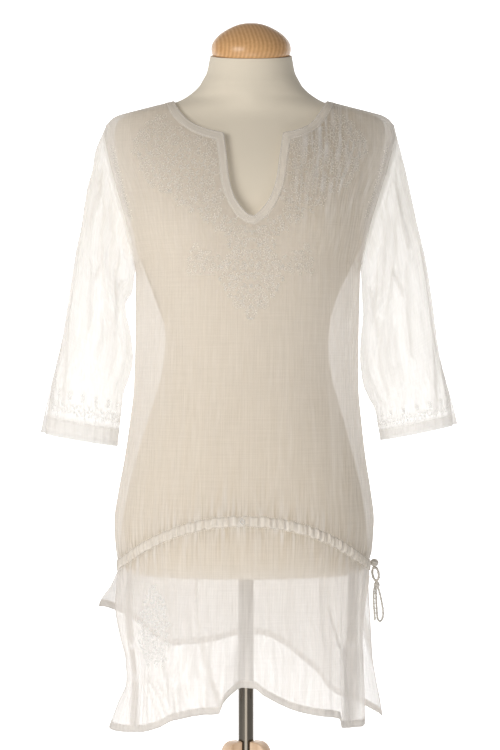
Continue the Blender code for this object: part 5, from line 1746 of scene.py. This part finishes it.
    def front_bib(self, shop: Workshop) -> Piece:
        """Sew the bib round the notch, its pendant and its side sprays."""
        self.fill(YOKE_AREA, True, self.pitch)
        self.fill(PENDANT_AREA, True, self.pitch * 0.86, 1)
        self.fill(WING_AREA, True, self.pitch * 0.92, 2)
        self.line(((-0.047, 1.152), (-0.062, 1.1515), (-0.08, 1.152)))
        for z in np.arange(1.235, 1.335, 0.0062):
            x = float(smooth_read(ARMHOLE, "x", np.array(z))) - 0.0075
            for mirror in (1, -1):
                self.lay(Motif.CURL, 0.0034, x, float(z), 290.0 * float(z), mirror)
        return self.sew(shop, "embroidery_bib", self.surface.front_view, BODY_THREAD)

    def teardrop(self, shop: Workshop) -> Piece:
        """Sew the teardrop on the wearer's right side of the skirt."""
        self.thread, self.height = 0.00092, 0.00055
        self.fill(TEARDROP_AREA, False, 0.008)
        return self.sew(shop, "embroidery_teardrop", self.surface.front_view, EDGE_THREAD)

    def cuff(self, shop: Workshop, sleeve: Sleeve) -> Piece:
        """Sew the border round a cuff and up both sides of its slit."""
        self.thread, self.height = 0.0005, 0.0003
        order = list(Motif)
        girth = TURN * sleeve.girth_radius
        steps = 30
        for k in range(steps):
            run = 0.035 * girth + 0.93 * girth * (k + 0.5) / steps
            self.lay(order[k % 2], 0.0058, run, 0.0235, 0.8 * (k % 3))
            if k % 2:
                self.lay(Motif.LEAVES, 0.0052, run, 0.0345, 1.5)
        for k in range(7):
            for run in (0.013, girth - 0.013):
                self.lay(order[(k + 1) % 3], 0.005, run, 0.03 + 0.0095 * k, 1.6)
        name = f"embroidery_cuff_{sleeve.side.name.lower()}"
        return self.sew(shop, name, sleeve.cloth_at, EDGE_THREAD)


@dataclass
class Sewing:
    """Seams and rows of machine stitches."""

    pattern: Pattern
    spacing: float = 0.003
    stitch: float = 0.0021
    thread: float = 0.00022
    height: float = 0.0003
    lift: float = 0.00022

    def run(self, book: StripBook, points: Array, normals: Array) -> None:
        """Sew a row of stitches along points.

        Args:
            book: The strips that take them.
            points: Points along the row, on the cloth.
            normals: The cloth's normals there.
        """
        length = running_length(points)
        for start in np.arange(self.spacing / 2, length[-1] - self.stitch, self.spacing):
            at = start + self.stitch * np.array([0.0, 0.5, 1.0])
            normal = unit(read_along(length, at, normals))
            book.add(read_along(length, at, points) + normal * self.lift, normal,
                     np.array([0.3, 1.0, 0.3]) * self.thread, self.height)

    def panel_rows(self, book: StripBook, back: bool) -> None:
        """Sew the hem, the slit turnings and both sides of the channel."""
        surface, pattern = self.pattern.surface, self.pattern
        angle = np.linspace(-QUARTER + 0.002, QUARTER - 0.002, 420)
        hem = pattern.hem_z(angle, back) + pattern.hem_height - 0.0012
        top = surface.channel_top(angle, back)
        for z in (hem, top + 0.0009, top - surface.channel_height - 0.0009):
            self.run(book, *surface.laid(angle, z, back))
        for sign in (-1, 1):
            low = float(surface.channel_side_z - surface.channel_height) - 0.004
            hem_z = float(pattern.hem_z(np.array([sign * QUARTER]), back)[0])
            z = np.linspace(low, hem_z + 0.002, 120)
            edge = np.full(len(z), sign * (QUARTER - 0.036))
            self.run(book, *surface.laid(edge, z, back))

    def joined(self, side: Side, z: Array) -> Array:
        """The line where front and back meet at a side, leaned."""
        surface, angle = self.pattern.surface, np.full(len(z), side.value * QUARTER)
        return lean((surface.at(angle, z, False) + surface.at(angle, z, True)) / 2)

    def seams(self, shop: Workshop) -> Piece:
        """Make the rolled seams at the armholes, shoulders and sides."""
        surface, pattern = self.pattern.surface, self.pattern
        book = StripBook()
        for side in Side:
            turn = np.linspace(0.0, TURN, 160)
            ring = lean(Sleeve(pattern, side).armhole(turn))
            ring[:, 0] -= side.value * surface.seam_gap / 2
            away = unit(ring - ring.mean(axis=0)) * 0.4 + np.array([side.value, 0.0, 0.0])
            book.add(ring, unit(away), 0.001, 0.0007)
            z = np.linspace(pattern.underarm_z, surface.channel_side_z + 0.002, 140)
            book.add(self.joined(side, z), np.tile([float(side.value), 0.0, 0.0], (len(z), 1)),
                     0.0009, 0.0005)
            x = np.linspace(pattern.neck_point_x + 0.001, 0.2035, 60)
            middle = self.joined(side, pattern.ridge_z(x))
            slope = unit(np.gradient(middle, axis=0))
            up = unit(np.stack([-slope[:, 2] * side.value, 0 * x, np.abs(slope[:, 0])], axis=-1))
            up[:, 0] = side.value * np.abs(up[:, 0])
            book.add(middle, up, 0.0009, 0.0006)
        return book.bind(shop, "seams", VOILE_TRIM)

    def build(self, shop: Workshop, band: NeckBand, sleeves: Sequence[Sleeve]) -> Piece:
        """Make every row of stitches as one piece."""
        book = StripBook()
        self.panel_rows(book, False)
        self.panel_rows(book, True)
        points, normals = band.rows(np.full(9, band.lie_gap + band.thickness * 1.25))
        for column in (1, 7):
            self.run(book, points[:, column], normals[:, column])
        for sleeve in sleeves:
            girth = TURN * sleeve.girth_radius
            around = np.linspace(0.006, girth - 0.006, 260)
            self.run(book, *sleeve.cloth_at(around, np.full(len(around), 0.0135)))
            up = np.linspace(0.002, 0.085, 60)
            for run in (0.0062, girth - 0.0062):
                self.run(book, *sleeve.cloth_at(np.full(len(up), run), up))
        triangle = ((-0.009, 1.2285), (0.009, 1.2285), (0.0, 1.2118), (-0.009, 1.2285))
        for (x0, z0), (x1, z1) in zip(triangle, triangle[1:]):
            x, z = np.linspace(x0, x1, 12), np.linspace(z0, z1, 12)
            self.run(book, *self.pattern.surface.front_view(x, z, 0.0019))
        ring = np.linspace(0.0, TURN, 26)
        centre, normal = self.pattern.surface.front_view(-0.0025 + 0.0027 * np.cos(ring),
                                                         0.8195 + 0.0027 * np.sin(ring), 0.0034)
        book.add(centre, normal, 0.0009, 0.0008)
        return book.bind(shop, "stitches", SEWING)


# ---- drawstring ends

@dataclass
class DrawstringEnds:
    """The tied ends of the drawstring at the wearer's left hip."""

    segments: int = 14
    twist: float = 0.0068

    def tube(self, shop: Workshop, name: str, path: Array, closed: bool = False,
             diameter: float = CORD_DIAMETER) -> Piece:
        """Make a twisted cord along a path.

        Args:
            shop: The workshop.
            name: The piece's name.
            path: Points along its middle, round the pole.
            closed: Whether its ends meet.
            diameter: Its mean thickness.

        Returns:
            The cord.
        """
        tangent = unit(np.roll(path, -1, axis=0) - np.roll(path, 1, axis=0) if closed
                       else np.gradient(path, axis=0))
        side = unit(np.cross(tangent, np.array([0.35, 0.9, 0.1])))
        other = np.cross(tangent, side)
        turn = np.linspace(0.0, TURN, self.segments + 1)
        run = running_length(path)
        twist = run / self.twist * TURN
        lumps = 1.0 + 0.13 * np.sin(run * 900.0) + 0.1 * np.sin(run * 2100.0 + 1.0)
        radius = (diameter / 2 * (0.86 + 0.14 * np.cos(2 * (turn[None, :] - twist[:, None])))
                  * lumps[:, None])
        if not closed:
            radius[[0, -1]] *= 0.55
        spoke = (np.cos(turn)[None, :, None] * side[:, None]
                 + np.sin(turn)[None, :, None] * other[:, None])
        points = path[:, None] + radius[..., None] * spoke
        if closed:
            points = np.concatenate([points, points[:1]])
            run = np.append(run, run[-1] + 0.001)
        bm = bmesh.new()
        shop.grid(bm, points, pairs(run[:, None], turn[None, :] / (TURN)))
        weld(bm)
        if not closed:
            fill_holes(bm)
            weld(bm)
        return shop.piece(name, bm, COTTON)

    def knot(self, shop: Workshop, name: str, centre: Sequence[float],
             radii: Sequence[float]) -> Piece:
        """Make a knot: a ball with cord wound over it."""
        bm = bmesh.new()
        made = bmesh.ops.create_icosphere(bm, subdivisions=4, radius=1.0)
        uv_layer = bm.loops.layers.uv.new("cut")
        for vert in made["verts"]:
            x, y, z = vert.co
            around = math.atan2(y, x)
            wound = 0.9 + 0.1 * abs(math.cos(2.5 * z * math.pi + around))
            vert.co = (x * wound, y * wound, z * (0.92 + 0.08 * wound))
        bmesh.ops.scale(bm, vec=tuple(radii), verts=bm.verts)
        bmesh.ops.translate(bm, vec=tuple(np.array(centre) + shop.origin), verts=bm.verts)
        for face in bm.faces:
            for loop in face.loops:
                loop[uv_layer].uv = (loop.vert.co.z, loop.vert.co.x * 40.0)
        return shop.piece(name, bm, COTTON)

    def build(self, shop: Workshop) -> None:
        upper_at, lower_at = np.array(TIE_KNOT_UPPER), np.array(TIE_KNOT_LOWER)
        upper = self.knot(shop, "knot_upper", TIE_KNOT_UPPER, TIE_KNOT_RADII[0])
        lower = self.knot(shop, "knot_lower", TIE_KNOT_LOWER, TIE_KNOT_RADII[1])
        span = float(np.linalg.norm(upper_at - lower_at))
        up = (upper_at - lower_at) / span
        low = TIE_KNOT_RADII[1][2] + BOW_DIAMETER * 0.2
        high = span - TIE_KNOT_RADII[0][2] - BOW_DIAMETER * 0.2
        turn = np.linspace(0.0, TURN, 48, endpoint=False) + math.pi / 2
        rise = (low + high) / 2 + (high - low) / 2 * np.sin(turn)
        bow_path = (lower_at + up * rise[:, None]
                    + np.array(TIE_BOW_ACROSS) * np.cos(turn)[:, None])
        bow = self.tube(shop, "bow_cord", bow_path, True, BOW_DIAMETER)
        loop_path, end_path = spline_points(TIE_LOOP_ROUTE, 80), spline_points(TIE_END_ROUTE, 44)
        loop = self.tube(shop, "loop_cord", loop_path)
        end = self.tube(shop, "end_cord", end_path)
        for piece, node in ((upper, "tie_knot_upper"), (lower, "tie_knot_lower"), (bow, "tie_bow"),
                            (loop, "tie_loop"), (end, "tie_end")):
            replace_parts(piece, node)


# ---- dress form and stand

@dataclass
class DressForm:
    """The jersey-covered form and its turned cap."""

    bust_x: float = 0.08
    bust_z: float = 1.215
    bust_lift: float = 0.015
    bust_width: float = 0.05
    bust_height: float = 0.055
    neck_foot_z: float = 1.4
    neck_rise: float = 0.06
    cap_gap: float = 0.0003
    columns: int = 144

    def at(self, angle: Array, z: Array, back: bool) -> Array:
        """A point of the form before it leans."""
        point = section_point(FORM_SECTIONS, angle, z, back)
        if not back:
            across = (np.abs(point[..., 0]) - self.bust_x) / self.bust_width
            up = (point[..., 2] - self.bust_z) / self.bust_height
            point[..., 1] -= self.bust_lift * np.exp(-across ** 2 - up ** 2)
        neck = held((z - self.neck_foot_z) / self.neck_rise)
        point[..., 2] += math.tan(CAP_TILT) * point[..., 1] * neck * neck * (3 - 2 * neck)
        return point

    def build(self, shop: Workshop) -> None:
        """Make the covered form, whole."""
        heights = np.array([section.z for section in FORM_SECTIONS])
        z = np.concatenate([np.linspace(a, b, 5)[:-1] for a, b in zip(heights, heights[1:])]
                           + [heights[-1:]])
        half = self.columns // 2
        angle = np.linspace(-QUARTER, QUARTER, half + 1)
        level = np.broadcast_to(z[:, None], (len(z), half + 1))
        front = self.at(np.broadcast_to(angle, level.shape), level, False)
        back = self.at(np.broadcast_to(angle[::-1], level.shape), level, True)
        points = lean(np.concatenate([front, back[:, 1:]], axis=1))
        middles = points.mean(axis=1)
        lid, inner, bore = (middles[row] + (points[row] - middles[row]) * share
                            for row, share in ((0, 0.02), (-1, 0.3), (-1, 0.085)))
        points = np.concatenate([[lid], points, [inner, bore]])
        cut = pairs(np.linspace(0.0, 0.9, points.shape[1])[None, :], points[:, :1, 2])
        bm = bmesh.new()
        shop.grid(bm, points, cut, outside=points - points.mean(axis=1, keepdims=True))
        bmesh.ops.remove_doubles(bm, verts=bm.verts, dist=1e-6)
        soft = [vert for vert in bm.verts if 1.368 < vert.co.z < 1.425
                and abs(vert.co.x - shop.origin[0]) < 0.112]
        for _ in range(30):
            bmesh.ops.smooth_vert(bm, verts=soft, factor=0.5, use_axis_x=True, use_axis_y=True,
                                  use_axis_z=True)
        fill_holes(bm)
        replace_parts(shop.piece("form_cover", bm, JERSEY, sharp=50.0), "form_torso")

    def cap(self, shop: Workshop) -> None:
        """Turn the beech cap and tilt it with the neck."""
        bm = spun(CAP_PROFILE, 96)
        top = lean(np.array([0.0, 0.0, FORM_SECTIONS[0].z])) + shop.origin
        tilt = math.cos(CAP_TILT), math.sin(CAP_TILT)
        for vert in bm.verts:
            x, y, z = vert.co
            z += self.cap_gap
            vert.co = (top[0] + x, top[1] + y * tilt[0] - z * tilt[1],
                       top[2] + y * tilt[1] + z * tilt[0])
        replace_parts(shop.piece("turned_cap", bm, BEECH_TURNED), "neck_cap")


@dataclass
class Stand:
    """The plated pole, its hub and three beech legs."""

    pole_radius: float = 0.011
    pole_edge: float = 0.0008
    pole_foot_z: float = 0.33
    pole_head_z: float = 0.84
    clearance: float = 0.0003
    hub_foot_z: float = 0.245
    leg_top_z: float = 0.4985
    leg_straight_z: float = 0.25
    leg_thickness: float = 0.02
    leg_depth: float = 0.024
    leg_reach: float = 0.24
    leg_curve: float = 1.5
    leg_top_round: float = 0.016
    leg_steps: int = 26
    azimuths: tuple[float, ...] = (210.0, 330.0, 90.0)

    def turned(self, shop: Workshop, name: str, profile: Sequence[tuple[float, float]],
               finish: Finish) -> Piece:
        """Spin a profile of radius and height round the pole's axis."""
        bm = spun(profile, 64)
        bmesh.ops.translate(bm, vec=tuple(shop.origin), verts=bm.verts)
        return shop.piece(name, bm, finish, sharp=35.0)

    def leg_edges(self, z: float) -> tuple[float, float]:
        """Inner and outer radius of a leg at a height."""
        inner = self.pole_radius + self.clearance
        middle, slope = inner + self.leg_depth / 2, 0.0
        if z < self.leg_straight_z:
            share = 1 - z / self.leg_straight_z
            middle += self.leg_reach * share ** self.leg_curve
            slope = (self.leg_reach * self.leg_curve * share ** (self.leg_curve - 1)
                     / self.leg_straight_z)
        half = self.leg_depth / 2 * math.sqrt(1 + slope * slope)
        return middle - half, middle + half

    def leg(self, shop: Workshop, number: int, azimuth: float) -> Piece:
        """Cut a leg from a board, round its edges and set it against the pole."""
        levels = [self.leg_straight_z * k / self.leg_steps for k in range(self.leg_steps + 1)]
        outline = [(self.leg_edges(z)[1], z) for z in levels]
        inner_r, outer_r = self.leg_edges(self.leg_top_z)
        for k in range(9):
            angle = QUARTER * k / 8
            outline.append((outer_r - self.leg_top_round * (1 - math.cos(angle)),
                            self.leg_top_z - self.leg_top_round * (1 - math.sin(angle))))
        outline += [(inner_r, self.leg_top_z)] + [(self.leg_edges(z)[0], z) for z in levels[::-1]]
        bm = bmesh.new()
        face = bm.faces.new([bm.verts.new((r, -self.leg_thickness / 2, z)) for r, z in outline])
        grown = bmesh.ops.extrude_face_region(bm, geom=[face])
        far = [item for item in grown["geom"] if isinstance(item, bmesh.types.BMVert)]
        bmesh.ops.translate(bm, vec=(0.0, self.leg_thickness, 0.0), verts=far)
        bmesh.ops.recalc_face_normals(bm, faces=bm.faces)
        rims = [edge for edge in bm.edges if abs(edge.verts[0].co.y - edge.verts[1].co.y) < 1e-6
                and max(vert.co.z for vert in edge.verts) > 0.002]
        bmesh.ops.bevel(bm, geom=rims, offset=0.0016, segments=3, profile=0.5, affect="EDGES",
                        material=-1, clamp_overlap=True)
        turn = math.radians(azimuth)
        for vert in bm.verts:
            x, y, z = vert.co
            vert.co = (x * math.cos(turn) - y * math.sin(turn) + shop.origin[0],
                       x * math.sin(turn) + y * math.cos(turn) + shop.origin[1], z)
        return shop.piece(f"leg_board_{number}", bm, BEECH_STAND, sharp=35.0)

    def build(self, shop: Workshop) -> None:
        """Make the pole, the hub and the legs."""
        r, foot, head = self.pole_radius, self.pole_foot_z, self.pole_head_z
        edge = self.pole_edge
        pole = self.turned(shop, "chrome_pole", (
            (0.0, foot), (r - edge, foot), (r, foot + edge), (r, head - edge), (r - edge, head),
            (0.0, head)), CHROME)
        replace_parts(pole, "pole")
        low, top = self.hub_foot_z, foot - self.clearance
        hub = self.turned(shop, "turned_hub", (
            (0.0, low - 0.012), (0.005, low - 0.0118), (0.0066, low - 0.0105),
            (0.0092, low - 0.004), (r, low),
            (r, top - 0.001), (r - 0.001, top), (0.0, top)), BEECH_STAND)
        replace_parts(hub, "stand_hub")
        for number, azimuth in enumerate(self.azimuths, start=1):
            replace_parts(self.leg(shop, number, azimuth), f"leg_{number}")


# ---- studio

@dataclass
class Studio:
    """Camera, light and seamless paper."""

    camera_place: tuple[float, float, float] = (0.0057, -2.4, 1.017)
    view_angle: float = math.radians(25.03)
    key_power: float = 41.0
    low_power: float = 3.6
    world: float = 0.3
    paper_length: float = 9.0
    paper_width: float = 9.0
    paper_floor: float = 5.2
    paper_bend: float = 0.9
    paper_near: float = 3.4

    def camera(self, origin: Array) -> None:
        """Set the camera level, looking along +Y at the form."""
        data = bpy.data.cameras.new("camera")
        data.sensor_fit = "VERTICAL"
        data.sensor_height = 24.0
        data.lens = 12.0 / math.tan(self.view_angle / 2)
        camera = bpy.data.objects.new("camera", data)
        camera.location = tuple(np.array(self.camera_place) + origin)
        camera.rotation_euler = (QUARTER, 0.0, 0.0)
        bpy.context.scene.collection.objects.link(camera)
        bpy.context.scene.camera = camera

    def lamp(self, name: str, place: tuple[float, float, float], target: tuple[float, float, float],
             size: float, power: float, colour: tuple[float, float, float],
             wide: float = 1.0) -> None:
        """Hang a soft lamp.

        Args:
            name: Its name.
            place: Where it hangs.
            target: What it points at.
            size: Its height in metres.
            power: Its power in watts.
            colour: Its colour.
            wide: How many times as wide as high it is.
        """
        data = bpy.data.lights.new(name, "AREA")
        data.shape = "RECTANGLE"
        data.size, data.size_y = size * wide, size
        data.energy = power
        data.color = colour
        lamp = bpy.data.objects.new(name, data)
        lamp.location = place
        direction = np.array(target) - np.array(place)
        yaw = math.atan2(direction[1], direction[0]) - QUARTER
        pitch = math.atan2(direction[2], math.hypot(direction[0], direction[1])) + QUARTER
        lamp.rotation_euler = (pitch, 0.0, yaw)
        bpy.context.scene.collection.objects.link(lamp)

    def backdrop(self) -> None:
        """Roll out the paper: a floor that curves up into a wall."""
        bm = bmesh.new()
        bmesh.ops.create_grid(bm, x_segments=2, y_segments=60, size=1.0)
        flat, radius, near = self.paper_floor, self.paper_bend, self.paper_near
        for vert in bm.verts:
            s = (vert.co.y + 1) / 2 * self.paper_length
            if s < flat:
                y, z = s - near, 0.0
            elif s < flat + radius * QUARTER:
                turn = (s - flat) / radius
                y, z = flat - near + radius * math.sin(turn), radius * (1 - math.cos(turn))
            else:
                y, z = flat - near + radius, radius + s - flat - radius * QUARTER
            vert.co = (vert.co.x * self.paper_width / 2, y, z)
        mesh = bpy.data.meshes.new("paper")
        bm.to_mesh(mesh)
        bm.free()
        mesh.shade_smooth()
        paper = bpy.data.objects.new("paper", mesh)
        bpy.context.scene.collection.objects.link(paper)
        mesh.materials.append(StudioWhite("studio_paper").material())

    def build(self, origin: Array) -> None:
        """Set up the whole studio."""
        self.camera(origin)
        self.backdrop()
        self.lamp("key", (-1.7, -2.4, 1.55), (0.0, 0.0, 1.0), 1.5, self.key_power,
                  (1.0, 0.98, 0.95))
        self.lamp("low", (0.0, -1.6, 0.24), (0.0, 0.0, 0.3), 0.4, self.low_power, (1.0, 0.97, 0.93),
                  2.4)
        scene = bpy.context.scene
        scene.world = bpy.data.worlds.new("room")
        scene.world.use_nodes = True
        ground = scene.world.node_tree.nodes["Background"]
        ground.inputs["Color"].default_value = (1.0, 0.985, 0.96, 1.0)
        ground.inputs["Strength"].default_value = self.world
        scene.view_settings.view_transform = "Standard"
        scene.view_settings.look = "None"


# ---- assembly

def corners(box: object) -> list[list[float]]:
    """A box's corners as plain lists."""
    return [[float(number) for number in corner] for corner in box]


def main() -> None:
    """Build every piece round the fixed frame."""
    logging.basicConfig(level=logging.INFO, format="%(message)s")
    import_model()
    low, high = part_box("pole")
    origin = np.array([(low[0] + high[0]) / 2, (low[1] + high[1]) / 2, 0.0])
    shop = Workshop(origin)
    Studio().build(origin)
    DrawstringEnds().build(shop)

    surface = TunicSurface()
    pattern = Pattern(surface)
    front = Panel(pattern, Face.FRONT).build(shop)
    back = Panel(pattern, Face.BACK, half_columns=84, body_rows=34, skirt_rows=34).build(shop)
    sleeves = [Sleeve(pattern, side) for side in Side]
    left, right = (sleeve.build(shop) for sleeve in sleeves)
    band = NeckBand(pattern)
    band_piece = band.build(shop)
    channel_front = Channel(surface, Face.FRONT).build(shop)
    channel_back = Channel(surface, Face.BACK, columns=420).build(shop)
    for piece, node in ((front, "front_panel"), (back, "back_panel"), (left, "sleeve_left"),
                        (right, "sleeve_right"), (band_piece, "neck_band"),
                        (channel_front, "casing_front"), (channel_back, "casing_back")):
        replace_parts(piece, node)

    needle = Needlework(surface)
    bib = needle.front_bib(shop)
    teardrop = needle.teardrop(shop)
    cuffs = [needle.cuff(shop, sleeve) for sleeve in sleeves]
    sewing = Sewing(pattern)
    seams = sewing.seams(shop)
    stitches = sewing.build(shop, band, sleeves)

    form = DressForm()
    form.build(shop)
    form.cap(shop)
    Stand().build(shop)


if __name__ == "__main__":
    main()
